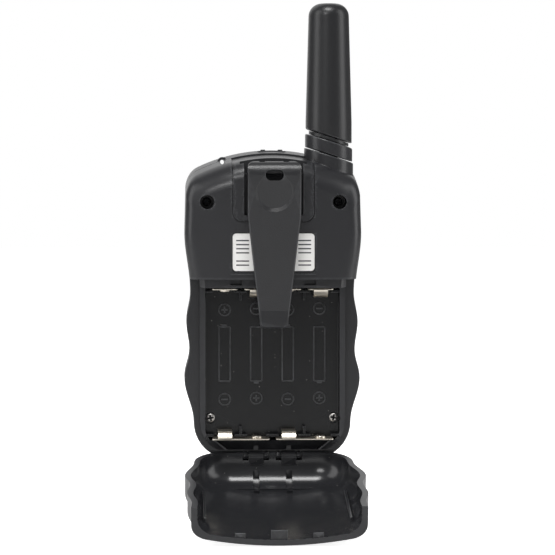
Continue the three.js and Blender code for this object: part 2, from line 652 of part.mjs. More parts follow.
// The door as it is when closed: a tray that carries the case's round edges on down to the bottom.
function closedDoor() {
  const rim = BODY.flange + CLEAR;
  const freeEnd = box(wide, [-1, 40], [-OVER, DOOR.top]);
  let door = doorTray(rim, 0).intersect(freeEnd).subtract(doorTray(rim - OVER, WALL));
  const chamfer = [
    [rim - OVER, -OVER],
    [rim + DOOR.rimChamfer, -OVER],
    [rim + DOOR.rimChamfer, 0],
    [rim, DOOR.rimChamfer],
    [rim - OVER, DOOR.rimChamfer],
  ];
  door = door.subtract(prism("x", chamfer, wide[0], wide[1]));
  const knuckleHalf = HINGE.knuckle / 2;
  const notchHalf = knuckleHalf + HINGE.ear + 2 * CLEAR;
  for (const side of [-1, 1]) {
    const x = side * HINGE.spread;
    const notch = [rim - OVER, HINGE.y + HINGE.r + 2 * CLEAR];
    door = door.subtract(box([x - notchHalf, x + notchHalf], notch, [-OVER, WALL + OVER]));
    const barrel = rod("x", [HINGE.y, HINGE.z], HINGE.r, x - knuckleHalf, x + knuckleHalf, 16);
    const peg = rod("x", [HINGE.y, HINGE.z], HINGE.peg, x - notchHalf + CLEAR, x + notchHalf - CLEAR, 12);
    const web = box([x - knuckleHalf, x + knuckleHalf], [HINGE.y, notch[1] + OVER],
      [0.1, HINGE.z + HINGE.r]);
    door = door.add(barrel).add(peg).add(web);
  }
  const inside = BODY.back - WALL;
  for (const x of [-LATCH.spread, 0, LATCH.spread]) {
    const half = (x === 0 ? LATCH.noseWidth : LATCH.tabWidth) / 2;
    const zs = [tubTop + 1.3, tubTop + 1.3 + LATCH.thick];
    door = door.add(box([x - half, x + half],
      [TUB.ledgeTop - LATCH.drop + CLEAR, inside + backRise(x) + 0.4], zs));
  }
  const stiffener = BODY.halfWidth - WALL - 4.4;
  return door.add(both((side) => box(
    [side * stiffener - 0.5, side * stiffener + 0.5],
    [inside - 1.2, inside + backRise(stiffener) + 0.5],
    [TUB.bottom + 14, tubTop - 9],
  )));
}

// Turns a closed-door solid down to the open rest position about the hinge.
function opened(piece) {
  return piece.translate([0, -HINGE.y, -HINGE.z]).rotate([-DOOR.open, 0, 0]).translate([0, HINGE.y,
    HINGE.z]);
}

// ---------------------------------------------------------------- belt clip

const tongueOut = BODY.back + CLIP.reach;
const plateIn = CLIP.channelFloor + CLEAR;
const plateOut = plateIn + CLIP.plateThick;
const bendFoot = CLIP.tongueTop - CLIP.thick - 0.6; // underside of the bend

// Two slots through the bend, which leave three straps.
function bendSlots() {
  return both((side) => box(
    [side * CLIP.slotNear, side * CLIP.slotFar].sort((a, b) => a - b),
    [plateOut + 0.6, tongueOut - CLIP.thick - 0.6],
    [bendFoot - 2, CLIP.bendTop + OVER],
  ));
}

// The plate that slides down between the boss's rails, with the bend that leads to the tongue.
function clipPlate() {
  const bottom = CLIP.bossBottom + WALL + CLEAR;
  const plate = box([-CLIP.plateHalf, CLIP.plateHalf], [plateIn, plateOut], [bottom, bendFoot]);
  const split = CLIP.bendSplit - CLEAR / 2;
  const side = [
    [plateIn, bendFoot - 2],
    [plateOut, bendFoot - 2],
    [plateOut + 0.6, bendFoot - 0.6],
    [plateOut + 1.6, bendFoot],
    [split, bendFoot],
    [split, CLIP.bendTop - 0.5],
    [plateOut + 1.6, CLIP.bendTop],
    [plateIn + 0.8, CLIP.bendTop - 0.8],
    [plateIn, bendFoot + 0.6],
  ];
  return plate.add(prism("x", side, -CLIP.tongueHalf, CLIP.tongueHalf)).subtract(bendSlots());
}

// The outer tongue: straight at the top, then tapering to a rounded tip that turns away from the belt.
function clipTongue() {
  const low = CLIP.tongueTop - CLIP.tongueLength;
  const shoulder = CLIP.tongueTop - CLIP.shoulderLength;
  const face = new THREE.Shape();
  face.moveTo(low + 2, -CLIP.tipHalf);
  face.lineTo(shoulder, -CLIP.tongueHalf);
  face.absarc(CLIP.bendTop - 3, -CLIP.tongueHalf + 3, 3, -Math.PI / 2, 0);
  face.absarc(CLIP.bendTop - 3, CLIP.tongueHalf - 3, 3, 0, Math.PI / 2);
  face.lineTo(shoulder, CLIP.tongueHalf);
  face.lineTo(low + 2, CLIP.tipHalf);
  face.quadraticCurveTo(low, CLIP.tipHalf, low, CLIP.tipHalf - 2);
  face.lineTo(low, -CLIP.tipHalf + 2);
  face.quadraticCurveTo(low, -CLIP.tipHalf, low + 2, -CLIP.tipHalf);
  const tipOut = BODY.back + CLIP.tipReach;
  const side = [
    [CLIP.bendSplit + CLEAR / 2, CLIP.bendTop - 0.5],
    [CLIP.bendSplit + CLEAR / 2, bendFoot],
    [tongueOut - CLIP.thick - 1.2, bendFoot],
    [tongueOut - CLIP.thick, bendFoot - 1.6],
    [tipOut - CLIP.thick, low + 6],
    [tipOut - CLIP.thick + 1, low - 1],
    [tipOut + 1, low - 1],
    [tipOut, low + 6],
    [tongueOut, CLIP.tongueTop - 4],
    [tongueOut - 0.6, CLIP.tongueTop - 1],
    [tongueOut - 2, CLIP.tongueTop + 0.4],
  ];
  const body = prism("x", side, -CLIP.tongueHalf, CLIP.tongueHalf);
  const sheet = body.intersect(prism("y", face, 0, 40));
  const eye = CLIP.tongueTop - 3.9;
  const window = prism("y", roundRect([eye - 1.8, eye + 1.8], [-3.05, 3.05], 1.75), tongueOut - 4, 40);
  return sheet.subtract(window).subtract(thumbDish()).subtract(bendSlots());
}

// Degrees that the tongue's outer face leans towards the case on its way down.
const tongueLean = THREE.MathUtils.radToDeg(Math.atan((CLIP.reach - CLIP.tipReach) / (CLIP.tongueLength - 10)));

// A dish that deepens downwards to a steep round end.
function thumbDish() {
  const middle = CLIP.tongueTop - CLIP.dishDrop;
  const tilt = Math.atan(CLIP.dishDepth / (2 * CLIP.dishR));
  const disc = rod("y", [0, 0], CLIP.dishR, 0, 10, 28, CLIP.dishR + 5);
  const lean = THREE.MathUtils.radToDeg(tilt) + tongueLean;
  return disc.rotate([-lean, 0, 0]).translate([0, tongueOut - 0.75 * CLIP.dishDepth, middle]);
}

// ---------------------------------------------------------------- antenna

function antennaSheath() {
  const { topR, baseR, tip } = ANTENNA;
  const dome = [0, 18, 36, 54, 72, 90].map((deg) => {
    const a = THREE.MathUtils.degToRad(deg);
    return [topR - 4.5 + 4.5 * Math.cos(a), tip - 4.5 + 4.5 * Math.sin(a)];
  });
  const foot = ANTENNA.sheathBottom - 4;
  const outer = turned([[0, foot], [baseR, foot], [baseR, foot + 6], ...dome, [0, tip]], antennaAt);
  const bore = rod("z", antennaAt, ANTENNA.coilR + ANTENNA.coilWire + CLEAR, foot - OVER, tip - 9);
  return outer.subtract(slanted(ANTENNA.sheathBottom, false)).subtract(bore);
}

function antennaCore() {
  const { coreR, foot, footRise } = ANTENNA;
  const stem = rod("z", antennaAt, coreR, foot, ANTENNA.tip - 10);
  const flange = rod("z", antennaAt, coreR + 1.6, foot, foot + footRise);
  const low = ANTENNA.ringTop + CLEAR;
  const neck = rod("z", antennaAt, ANTENNA.neckR, low - 5, low + 8);
  const band = neck.subtract(slanted(low, false)).subtract(slanted(ANTENNA.sheathBottom - CLEAR, true));
  return stem.add(flange).add(band);
}

function antennaRing() {
  const { ringR, ringTop, ringBottom } = ANTENNA;
  const blank = rod("z", antennaAt, ringR, ringBottom - 5, ringTop + 5);
  const bore = rod("z", antennaAt, ANTENNA.coreR + CLEAR, ringBottom - 6, ringTop + 6, 20);
  return blank.subtract(slanted(ringBottom, false)).subtract(slanted(ringTop, true)).subtract(bore);
}

function antennaCoil() {
  const start = ANTENNA.sheathBottom + 5;
  const rise = ANTENNA.tip - 13 - start;
  const steps = ANTENNA.coilTurns * 12;
  const points = Array.from({ length: steps + 1 }, (_, i) => {
    const a = (2 * Math.PI * i) / 12;
    const r = ANTENNA.coilR;
    return [ANTENNA.x + r * Math.cos(a), ANTENNA.y + r * Math.sin(a), start + (rise * i) / steps];
  });
  return wire(points, ANTENNA.coilWire, 4, steps);
}

// ---------------------------------------------------------------- cell contacts

// A contact plate on the compartment's end wall. end is 1 at the top, -1 at the bottom.
function contactPlate(end, columns) {
  const wall = end > 0 ? tubTop : TUB.bottom;
  const inwards = (depth) => wall - end * depth;
  const span = (near, far) => [inwards(near), inwards(far)].sort((a, b) => a - b);
  const { gap, thick, half, leafHalf, leafReach, bumpR, bump } = CONTACT;
  const xs = columns.map(cellX);
  const middleY = TUB.floor + CELL.d / 2 + CLEAR;
  let plate = box([Math.min(...xs) - half, Math.max(...xs) + half], [TUB.floor + 0.4, 9.2],
    span(gap, gap + thick));
  for (const column of columns) {
    const x = cellX(column);
    const positive = CELL.polarity[column] === end;
    const leaf = [
      [TUB.floor + 7.6, inwards(gap)],
      [TUB.floor + 9.2, inwards(gap)],
      [TUB.floor + 9.2, inwards(gap + leafReach - 0.6)],
      [TUB.floor + 8.4, inwards(gap + leafReach)],
      [TUB.floor + 1.6, inwards(gap + leafReach + 1.0)],
      [TUB.floor + 1.6, inwards(gap + leafReach + 0.6)],
      [TUB.floor + 8.0, inwards(gap + leafReach - 0.4)],
      [TUB.floor + 8.6, inwards(gap + leafReach - 0.8)],
      [TUB.floor + 8.6, inwards(gap + thick)],
      [TUB.floor + 7.6, inwards(gap + thick)],
    ];
    const button = () => rod("z", [x, middleY], bumpR, ...span(gap, gap + thick + bump), 16);
    plate = plate.add(positive ? button() : prism("x", leaf, x - leafHalf, x + leafHalf));
  }
  return plate;
}

function endContact(column) {
  const x = cellX(column);
  const tabSpan = [TUB.floor + 1.2, TUB.floor + 1.6];
  const tab = box([x - CONTACT.tab, x + CONTACT.tab], tabSpan,
    [tubTop - CONTACT.gap - 0.2, ledgeEnd + WALL]);
  return contactPlate(1, [column]).add(tab);
}

// ---------------------------------------------------------------- fasteners

// A cross-head screw lying along Y, its head's underside at y.
function screw([z, x], y, length) {
  const { headR, headH, shankR } = SCREW;
  const head = rod("y", [z, x], headR, y, y + headH, 16);
  const shank = rod("y", [z, x], shankR, y - length, y + 0.1, 12);
  const cross = box([x - 0.9, x + 0.9], [y + 0.5, y + headH + OVER], [z - 0.22, z + 0.22])
    .add(box([x - 0.22, x + 0.22], [y + 0.5, y + headH + OVER], [z - 0.9, z + 0.9]));
  return head.add(shank).subtract(cross);
}

// ---------------------------------------------------------------- front: display, keys, speaker

const innerFront = BODY.front + WALL;

function lcdHolder() {
  const half = WINDOW.width / 2 + LCD.holder;
  const [low, high] = [WINDOW.bottom - LCD.holder, WINDOW.bottom + WINDOW.height + LCD.holder];
  const [front, back] = [innerFront + CLEAR, innerFront + CLEAR + LCD.thick + LCD.holder];
  const frame = box([-half, half], [front, back], [low, high]);
  const pocket = [-half + LCD.holder - CLEAR, half - LCD.holder + CLEAR];
  const room = box(pocket, [front - OVER, front + LCD.thick + CLEAR],
    [low + LCD.holder - CLEAR, high - LCD.holder + CLEAR]);
  const legs = both((side) => both((end) => {
    const z = (low + high) / 2 + end * ((high - low) / 2 - 1);
    return rod("y", [z, side * (half - 1)], 0.8, back - 0.5, BOARD.y - CLEAR, 8);
  }));
  return frame.subtract(room).add(legs);
}

function lcdPanel() {
  const half = WINDOW.width / 2;
  const front = innerFront + CLEAR;
  return box([-half, half], [front, front + LCD.thick], [WINDOW.bottom, WINDOW.bottom + WINDOW.height]);
}

function lcdWindow() {
  const half = WINDOW.width / 2 - CLEAR;
  const zs = [WINDOW.bottom + CLEAR, WINDOW.bottom + WINDOW.height - CLEAR];
  return prism("y", roundRect(zs, [-half, half], WINDOW.r - CLEAR), BODY.front,
    BODY.front + WINDOW.thick - CLEAR);
}

function keyCap({ x, z, w, h }) {
  const cap = (grow, y0, y1, r) => {
    const shape = roundRect([z - h / 2 - grow, z + h / 2 + grow], [x - w / 2 - grow, x + w / 2 + grow],
      r);
    return prism("y", shape, y0, y1);
  };
  const flangeAt = innerFront + CLEAR;
  return cap(-CLEAR, KEYS.y - KEYS.proud, flangeAt + KEYS.flange,
    1.7).add(cap(0.6, flangeAt, flangeAt + KEYS.flange, 2.3));
}

const matFront = innerFront + 2 * CLEAR + KEYS.flange + KEYS.travel;

function keypadMat() {
  const half = BOARDSCREW.x - BOARDSCREW.postR - CLEAR - 0.1;
  const sheet = box([-half, half], [matFront, matFront + 1], [KEYS.matBottom, KEYS.matTop]);
  const domes = keyPlaces.map(({ x, z }) => rod("y", [z, x], 2.6, matFront + 0.5, BOARD.y - CLEAR, 12,
    1.8));
  return sheet.add(joined(domes));
}

const speakerAt = [SPEAKER.z, 0];
const speakerFront = innerFront + 2 * CLEAR;

function speakerFrame() {
  const back = speakerFront + SPEAKER.depth - 0.7;
  const cup = rod("y", speakerAt, SPEAKER.r, speakerFront, speakerFront + 1.2, 32)
    .add(rod("y", speakerAt, SPEAKER.r - 0.6, speakerFront, back, 32, SPEAKER.magnetR + 2));
  const bowl = rod("y", speakerAt, SPEAKER.coneR + 0.8, speakerFront - 0.1, back - 0.7, 32,
    SPEAKER.magnetR + 1);
  return cup.subtract(bowl).subtract(rod("y", speakerAt, 4, speakerFront, back + OVER, 16));
}

function speakerCone() {
  const flare = (y0) => rod("y", speakerAt, SPEAKER.coneR, y0, y0 + 2.1, 32, 4.5);
  return flare(speakerFront + 0.4).subtract(flare(speakerFront));
}

function speakerMagnet() {
  const start = speakerFront + SPEAKER.depth - 0.7 + CLEAR;
  return rod("y", speakerAt, SPEAKER.magnetR, start, start + SPEAKER.magnetDepth - CLEAR, 24);
}

// ---------------------------------------------------------------- talk button

function pttPiece(grow, slabFrom, slabTo) {
  const [y0, y1] = [PTT.y - PTT.width / 2 - grow, PTT.y + PTT.width / 2 + grow];
  const shape = roundRect([y0, y1], [PTT.bottom - grow, PTT.bottom + PTT.length + grow],
    PTT.r + grow / 2);
  const block = prism("x", shape, -BODY.halfWidth - OVER, -BODY.halfWidth / 2);
  return block.intersect(slab(slabFrom, BODY.front, BODY.seam)).subtract(slab(slabTo, BODY.front,
    BODY.seam));
}

function pttButton() {
  const flangeIn = WALL + CLEAR;
  return pttPiece(-CLEAR, -PTT.proud, flangeIn + 0.9).add(pttPiece(0.4, flangeIn, flangeIn + 0.9));
}

function pttSwitch() {
  const middle = PTT.bottom + PTT.length / 2;
  const body = box([-BOARD.halfWidth - 0.6, -BOARD.halfWidth + 2.4],
    [BOARD.y - CLEAR - 1.8, BOARD.y - CLEAR], [middle - 3, middle + 3]);
  const reach = BODY.halfWidth - WALL - 1.6 - PTT.travel - CLEAR;
  return body.add(box([-reach, -BOARD.halfWidth - CLEAR], [PTT.y - 0.8, PTT.y + 0.8],
    [middle - 1, middle + 1]));
}

// ---------------------------------------------------------------- board and what sits on it

function mainBoard() {
  const sheet = slab(WALL + 1.2, BOARD.y, boardBack);
  let board = sheet.intersect(box([-BOARD.halfWidth, BOARD.halfWidth], [-40, 40],
    [BOARD.bottom, BOARD.top]));
  for (const side of [-1, 1]) {
    board = board.subtract(rod("y", [WELL.z, side * WELL.x], SCREW.bossR + 0.6, -40, 40, 20));
    board = board.subtract(rod("y", [LOWSCREW.z, side * LOWSCREW.x], SCREW.bossR + 0.6, -40, 40, 20));
    board = board.subtract(rod("y", [BOARDSCREW.z, side * BOARDSCREW.x], SCREW.pilotR, -40, 40, 12));
  }
  const antennaNotch = box([-40, ANTENNA.x + ANTENNA.collarR + 1.5], [-40, 40], [ANTENNA.foot - 5, 140]);
  const jackNotch = box([-JACK.r - 0.6, JACK.r + 0.6], [-40, 40], [JACK.bottom - 0.6, 140]);
  return board.subtract(antennaNotch).subtract(jackNotch);
}

function rfShield() {
  const can = box([-9, 11], [boardBack + 0.1, boardBack + 3.0], [70, 88]);
  return can.subtract(box([-8.6, 10.6], [boardBack - 1, boardBack + 2.6], [70.4, 87.6]));
}

const onBoard = (xs, rise, zs) => box(xs, [boardBack + 0.1, boardBack + rise], zs);

function headsetJack() {
  const body = rod("z", [0, JACK.y], JACK.r, JACK.bottom, BODY.height - JACK.coverSeat - 0.2, 20);
  return body.subtract(rod("z", [0, JACK.y], 1.3, JACK.bottom + 1.5, BODY.height, 16));
}

function jackCover() {
  const low = BODY.height - JACK.coverSeat + CLEAR;
  const [y0, y1] = [JACK.y - JACK.coverDeep / 2, JACK.y + JACK.coverDeep / 2];
  const pad = box([-JACK.coverHalf, JACK.coverHalf], [y0, y1], [low, low + JACK.coverThick]);
  const nub = (side) => box([side * 3 - 0.5, side * 3 + 0.5], [y0 + 1, y1 - 1],
    [low + 1, low + JACK.coverThick + 0.8]);
  return pad.add(both(nub));
}

// ---------------------------------------------------------------- the assembly

place("front_housing", frontHousing(), FINISH.shell);
place("rear_housing", rearHousing(), FINISH.shell);
place("battery_door", opened(closedDoor()), FINISH.shell);
place("clip_plate", clipPlate(), FINISH.clip);
place("clip_tongue", clipTongue(), FINISH.clip);
place("antenna_sheath", antennaSheath(), FINISH.rubber);
place("antenna_core", antennaCore(), FINISH.shell);
place("antenna_ring", antennaRing(), FINISH.shell);
place("antenna_coil", antennaCoil(), FINISH.brass);

place("contact_positive", endContact(0), FINISH.nickel);
place("contact_negative", endContact(3), FINISH.nickel);
place("contact_bridge_top", contactPlate(1, [1, 2]), FINISH.nickel);
place("contact_bridge_low_left", contactPlate(-1, [0, 1]), FINISH.nickel);
place("contact_bridge_low_right", contactPlate(-1, [2, 3]), FINISH.nickel);

place("rating_label", ratingLabel(), FINISH.label);

for (const [side, hand] of [[1, "left"], [-1, "right"]]) {
  const upper = screw([WELL.z, side * WELL.x], WELL.floor + 0.05, 11);
  place(`screw_upper_${hand}`, upper, FINISH.steel);
  place(`screw_lower_${hand}`, screw([LOWSCREW.z, side * LOWSCREW.x], TUB.floor - 0.35, 8), FINISH.steel);
  place(`screw_board_${hand}`, screw([BOARDSCREW.z, side * BOARDSCREW.x], boardBack + 0.05, 5),
    FINISH.steel);
}

place("lcd_window", lcdWindow(), FINISH.clear);
place("lcd_panel", lcdPanel(), FINISH.glass);
place("lcd_holder", lcdHolder(), FINISH.white);
keyPlaces.forEach((key) => place(key.name, keyCap(key), FINISH.key));
place("keypad_mat", keypadMat(), FINISH.rubber);
place("talk_button", pttButton(), FINISH.key);
place("talk_switch", pttSwitch(), FINISH.chip);
place("speaker_cloth", rod("y", speakerAt, SPEAKER.r - CLEAR, innerFront + 0.05, innerFront + CLEAR, 24),
  FINISH.cone);
place("speaker_frame", speakerFrame(), FINISH.steel);
place("speaker_cone", speakerCone(), FINISH.cone);
place("speaker_magnet", speakerMagnet(), FINISH.magnet);
place("microphone", rod("y", [MIC.z, MIC.x], MIC.r, innerFront + 0.3, innerFront + 0.3 + MIC.depth, 16),
  FINISH.steel);
place("headset_jack", headsetJack(), FINISH.chip);
place("jack_cover", jackCover(), FINISH.rubber);

place("main_board", mainBoard(), FINISH.board);
place("rf_shield", rfShield(), FINISH.nickel);
place("radio_chip", onBoard([-6, 2], 1.4, [75, 83]), FINISH.chip);
place("audio_chip", onBoard([13, 19], 1.6, [74, 80]), FINISH.chip);
place("crystal", onBoard([13, 17.5], 2.6, [83.5, 86.5]), FINISH.steel);

const tabTop = ledgeEnd + WALL;
for (const [column, name, look] of [[0, "lead_positive", FINISH.leadRed],
  [3, "lead_negative", FINISH.leadBlack]]) {
  const x = cellX(column);
  const route = [[x, 1.4, tabTop + 0.9], [x, 0.6, tabTop + 2.6], [x, -1.2, tabTop + 3.6],
    [x, boardBack + 0.7, tabTop + 3.9]];
  place(name, wire(route, LEAD.r), look);
}
for (const [side, hand] of [[1, "left"], [-1, "right"]]) {
  const start = speakerFront + SPEAKER.depth;
  const route = [[side * 8.5, start, 35], [side * 9.5, start + 0.6, 37.6], [side * 9.5, start + 0.8, 40],
    [side * 9.5, start + 1.4, 42]];
  place(`speaker_lead_${hand}`, wire(route, LEAD.r), side > 0 ? FINISH.leadRed : FINISH.leadBlack);
}

export default radio;
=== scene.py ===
"""Portable two-way radio, seen from its back with the cell compartment open.

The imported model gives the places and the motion; this script gives each visible piece its final
mesh and finish. Meshes are worked out in millimetres and written in metres.
"""
import logging
import math
from dataclasses import dataclass
from enum import Enum

import bmesh
import bpy
import numpy as np
from mathutils import Matrix, Vector


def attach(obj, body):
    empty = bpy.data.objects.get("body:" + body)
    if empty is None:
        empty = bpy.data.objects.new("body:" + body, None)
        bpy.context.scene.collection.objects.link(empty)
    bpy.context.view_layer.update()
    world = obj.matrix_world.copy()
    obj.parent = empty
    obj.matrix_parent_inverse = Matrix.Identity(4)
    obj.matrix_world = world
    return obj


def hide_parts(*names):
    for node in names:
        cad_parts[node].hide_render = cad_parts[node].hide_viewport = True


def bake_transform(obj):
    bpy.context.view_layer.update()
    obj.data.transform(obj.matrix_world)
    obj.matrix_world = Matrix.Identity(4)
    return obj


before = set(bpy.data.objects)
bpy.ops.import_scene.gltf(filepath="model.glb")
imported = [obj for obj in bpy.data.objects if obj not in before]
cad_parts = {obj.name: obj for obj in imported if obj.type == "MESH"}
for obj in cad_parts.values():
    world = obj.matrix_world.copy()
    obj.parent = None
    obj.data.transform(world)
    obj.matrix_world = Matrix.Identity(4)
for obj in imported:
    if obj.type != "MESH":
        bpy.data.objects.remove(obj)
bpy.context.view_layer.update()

log = logging.getLogger("radio")

MM = 0.001
Point = tuple[float, float]
Span = tuple[float, float]
Point3 = tuple[float, float, float]
Value = bpy.types.NodeSocket | float
Colour = bpy.types.NodeSocket | tuple[float, float, float, float]


class Along(Enum):
    """Axis that an outline is pushed along, with the radio axes of the outline's own two axes."""

    X = (1, 2, 0)
    Y = (2, 0, 1)
    Z = (0, 1, 2)


# ---------------------------------------------------------------- solids


class Solid:
    """A closed mesh in millimetres that can be joined to, cut by and kept within others."""

    def __init__(self, points: np.ndarray, faces: list[tuple[int, ...]]) -> None:
        """Makes the solid and turns its faces outwards.

        Args:
            points: one row of x, y, z for each vertex.
            faces: the vertex numbers of each face.
        """
        mesh = bpy.data.meshes.new("solid")
        mesh.from_pydata([tuple(row) for row in points], [], faces)
        shape = bmesh.new()
        shape.from_mesh(mesh)
        bmesh.ops.remove_doubles(shape, verts=shape.verts, dist=1e-5)
        bmesh.ops.recalc_face_normals(shape, faces=shape.faces)
        if shape.calc_volume(signed=True) < 0:
            bmesh.ops.reverse_faces(shape, faces=shape.faces)
        shape.to_mesh(mesh)
        shape.free()
        self.item = bpy.data.objects.new("solid", mesh)
        bpy.context.scene.collection.objects.link(self.item)

    def _combine(self, other: "Solid", operation: str) -> "Solid":
        """Applies one boolean and uses the other solid up.

        Args:
            other: the solid that joins, cuts or bounds this one.
            operation: UNION, DIFFERENCE or INTERSECT.

        Returns:
            This solid.
        """
        step = self.item.modifiers.new("step", "BOOLEAN")
        step.operation = operation
        step.object = other.item
        step.solver = "MANIFOLD"
        graph = bpy.context.evaluated_depsgraph_get()
        mesh = bpy.data.meshes.new_from_object(self.item.evaluated_get(graph), depsgraph=graph)
        self.item.modifiers.clear()
        spent = self.item.data
        self.item.data = mesh
        bpy.data.meshes.remove(spent)
        other.discard()
        return self

    def add(self, other: "Solid") -> "Solid":
        """Joins another solid to this one."""
        return self._combine(other, "UNION")

    def cut(self, other: "Solid") -> "Solid":
        """Takes another solid away from this one."""
        return self._combine(other, "DIFFERENCE")

    def keep(self, other: "Solid") -> "Solid":
        """Keeps only what lies inside the other solid."""
        return self._combine(other, "INTERSECT")

    def moved(self, matrix: Matrix) -> "Solid":
        """Moves every point of the solid by a matrix in millimetres."""
        self.item.data.transform(matrix)
        return self

    def discard(self) -> None:
        """Removes the solid and its mesh."""
        mesh = self.item.data
        bpy.data.objects.remove(self.item)
        bpy.data.meshes.remove(mesh)

    def finish(self, name: str, smooth_deg: float = 28.0) -> bpy.types.Object:
        """Turns the solid into a finished piece in metres.

        Args:
            name: the piece's name.
            smooth_deg: edges sharper than this stay crisp.

        Returns:
            The piece, at the origin, with its place in its mesh.
        """
        mesh = self.item.data
        mesh.transform(Matrix.Scale(MM, 4))
        shape = bmesh.new()
        shape.from_mesh(mesh)
        bmesh.ops.remove_doubles(shape, verts=shape.verts, dist=2e-6)
        bmesh.ops.dissolve_degenerate(shape, dist=1e-6, edges=shape.edges)
        bmesh.ops.triangulate(shape, faces=[f for f in shape.faces if len(f.verts) > 4])
        limit = math.radians(smooth_deg)
        for edge in shape.edges:
            edge.smooth = edge.is_manifold and edge.calc_face_angle(math.pi) < limit
        for face in shape.faces:
            face.smooth = True
        bends = [self._bend(face) for face in shape.faces]
        shape.to_mesh(mesh)
        shape.free()
        mesh.attributes.new("bend", "FLOAT", "FACE").data.foreach_set("value", bends)
        mesh.materials.clear()
        self.item.name = name
        mesh.name = name
        weigh = self.item.modifiers.new("weigh", "WEIGHTED_NORMAL")
        weigh.keep_sharp = True
        weigh.weight = 60
        return self.item

    @staticmethod
    def _bend(face: bmesh.types.BMFace) -> float:
        """Gives how sharply the surface bends outwards at a face, per millimetre of width."""
        turned_by = sum(edge.calc_face_angle_signed(0.0) * edge.calc_length() for edge in face.edges)
        return turned_by / max(face.calc_area(), 1e-12) * MM / 2


def sweep(rings: list[np.ndarray]) -> Solid:
    """Makes a closed body through rings of equal point count, with flat ends.

    Args:
        rings: each ring's points in order round the body.

    Returns:
        The solid.
    """
    count = len(rings[0])
    faces: list[tuple[int, ...]] = []
    for s in range(len(rings) - 1):
        for i in range(count):
            j = (i + 1) % count
            faces.append((s * count + i, s * count + j, (s + 1) * count + j, (s + 1) * count + i))
    last = (len(rings) - 1) * count
    faces.append(tuple(range(count))[::-1])
    faces.append(tuple(last + i for i in range(count)))
    return Solid(np.vstack(rings), faces)


def lift(points: np.ndarray, along: Along, at: float) -> np.ndarray:
    """Places flat outline points in the radio's axes.

    Args:
        points: rows of the outline's own two axes.
        along: the axis that the outline faces.
        at: where the outline lies on that axis.

    Returns:
        Rows of x, y, z.
    """
    placed = np.full((len(points), 3), float(at))
    first, second, _ = along.value
    placed[:, first] = points[:, 0]
    placed[:, second] = points[:, 1]
    return placed


def offset(points: np.ndarray, amount: float) -> np.ndarray:
    """Moves an outline's edges outwards by an amount, or inwards if it is negative.

    Args:
        points: the outline, counter-clockwise.
        amount: how far each edge moves.

    Returns:
        The moved outline.
    """
    edge = np.roll(points, -1, axis=0) - points
    edge /= np.linalg.norm(edge, axis=1)[:, None]
    normal = np.stack([edge[:, 1], -edge[:, 0]], axis=1)
    before = np.roll(normal, 1, axis=0)
    share = 1.0 + np.sum(normal * before, axis=1)
    return points + amount * (normal + before) / np.maximum(share, 0.35)[:, None]


def rounding(radius: float, steps: int) -> list[Point]:
    """Gives (distance from the end, how far the edge is drawn in) along a quarter-round edge.

    Args:
        radius: the edge's radius; negative for a mouth that flares outwards.
        steps: how many flats make the round.

    Returns:
        The pairs from the end inwards.
    """
    size = abs(radius)
    pairs = []
    for step in range(steps + 1):
        turn = math.pi / 2 * step / steps
        drawn = size * (1 - math.sin(turn))
        pairs.append((size * (1 - math.cos(turn)), math.copysign(drawn, radius)))
    return pairs


def prism(along: Along, points: list[Point] | np.ndarray, span: Span,
          ends: Span = (0.0, 0.0), steps: int = 3) -> Solid:
    """Pushes an outline along an axis, with round or flared ends.

    Args:
        along: the axis to push along.
        points: the outline, counter-clockwise in its own two axes.
        span: where the body starts and ends on that axis.
        ends: the edge radius at the start and at the end; negative flares outwards.
        steps: how many flats make each round.

    Returns:
        The solid.
    """
    flat = np.asarray(points, dtype=float)
    if np.sum(flat[:, 0] * np.roll(flat[:, 1], -1) - np.roll(flat[:, 0], -1) * flat[:, 1]) < 0:
        flat = flat[::-1]
    low, high = min(span), max(span)
    start = [(low + d, inset) for d, inset in rounding(ends[0], steps)] if ends[0] else [(low, 0.0)]
    finish = [(high - d, inset) for d, inset in rounding(ends[1], steps)] if ends[1] else [(high, 0.0)]
    rings = [lift(offset(flat, -inset), along, at) for at, inset in start + finish[::-1]]
    return sweep(rings)


def block(xs: Span, ys: Span, zs: Span, edge: float = 0.0) -> Solid:
    """Makes a box.

    Args:
        xs: where it starts and ends on X.
        ys: where it starts and ends on Y.
        zs: where it starts and ends on Z.
        edge: the radius that its upright edges and its ends are eased by.

    Returns:
        The solid.
    """
    if edge <= 0:
        return prism(Along.Z, [(xs[0], ys[0]), (xs[1], ys[0]), (xs[1], ys[1]), (xs[0], ys[1])], zs)
    return prism(Along.Z, round_rect(xs, ys, edge, 3), zs, (edge, edge))


def arc(centre: Point, radius: float, start_deg: float, end_deg: float, steps: int) -> list[Point]:
    """Gives points along an arc.

    Args:
        centre: the arc's centre.
        radius: its radius.
        start_deg: where it starts.
        end_deg: where it ends; the turn may go either way.
        steps: how many flats make it.

    Returns:
        The points, both ends included.
    """
    turns = np.radians(np.linspace(start_deg, end_deg, steps + 1))
    return [(centre[0] + radius * math.cos(t), centre[1] + radius * math.sin(t)) for t in turns]


def round_rect(us: Span, vs: Span, radius: float, steps: int = 8) -> list[Point]:
    """Gives the outline of a rectangle with round corners.

    Args:
        us: where it starts and ends on the outline's first axis.
        vs: where it starts and ends on the second.
        radius: the corners' radius.
        steps: how many flats make each corner.

    Returns:
        The outline, counter-clockwise.
    """
    (u0, u1), (v0, v1) = us, vs
    return [
        *arc((u1 - radius, v0 + radius), radius, -90, 0, steps),
        *arc((u1 - radius, v1 - radius), radius, 0, 90, steps),
        *arc((u0 + radius, v1 - radius), radius, 90, 180, steps),
        *arc((u0 + radius, v0 + radius), radius, 180, 270, steps),
    ]


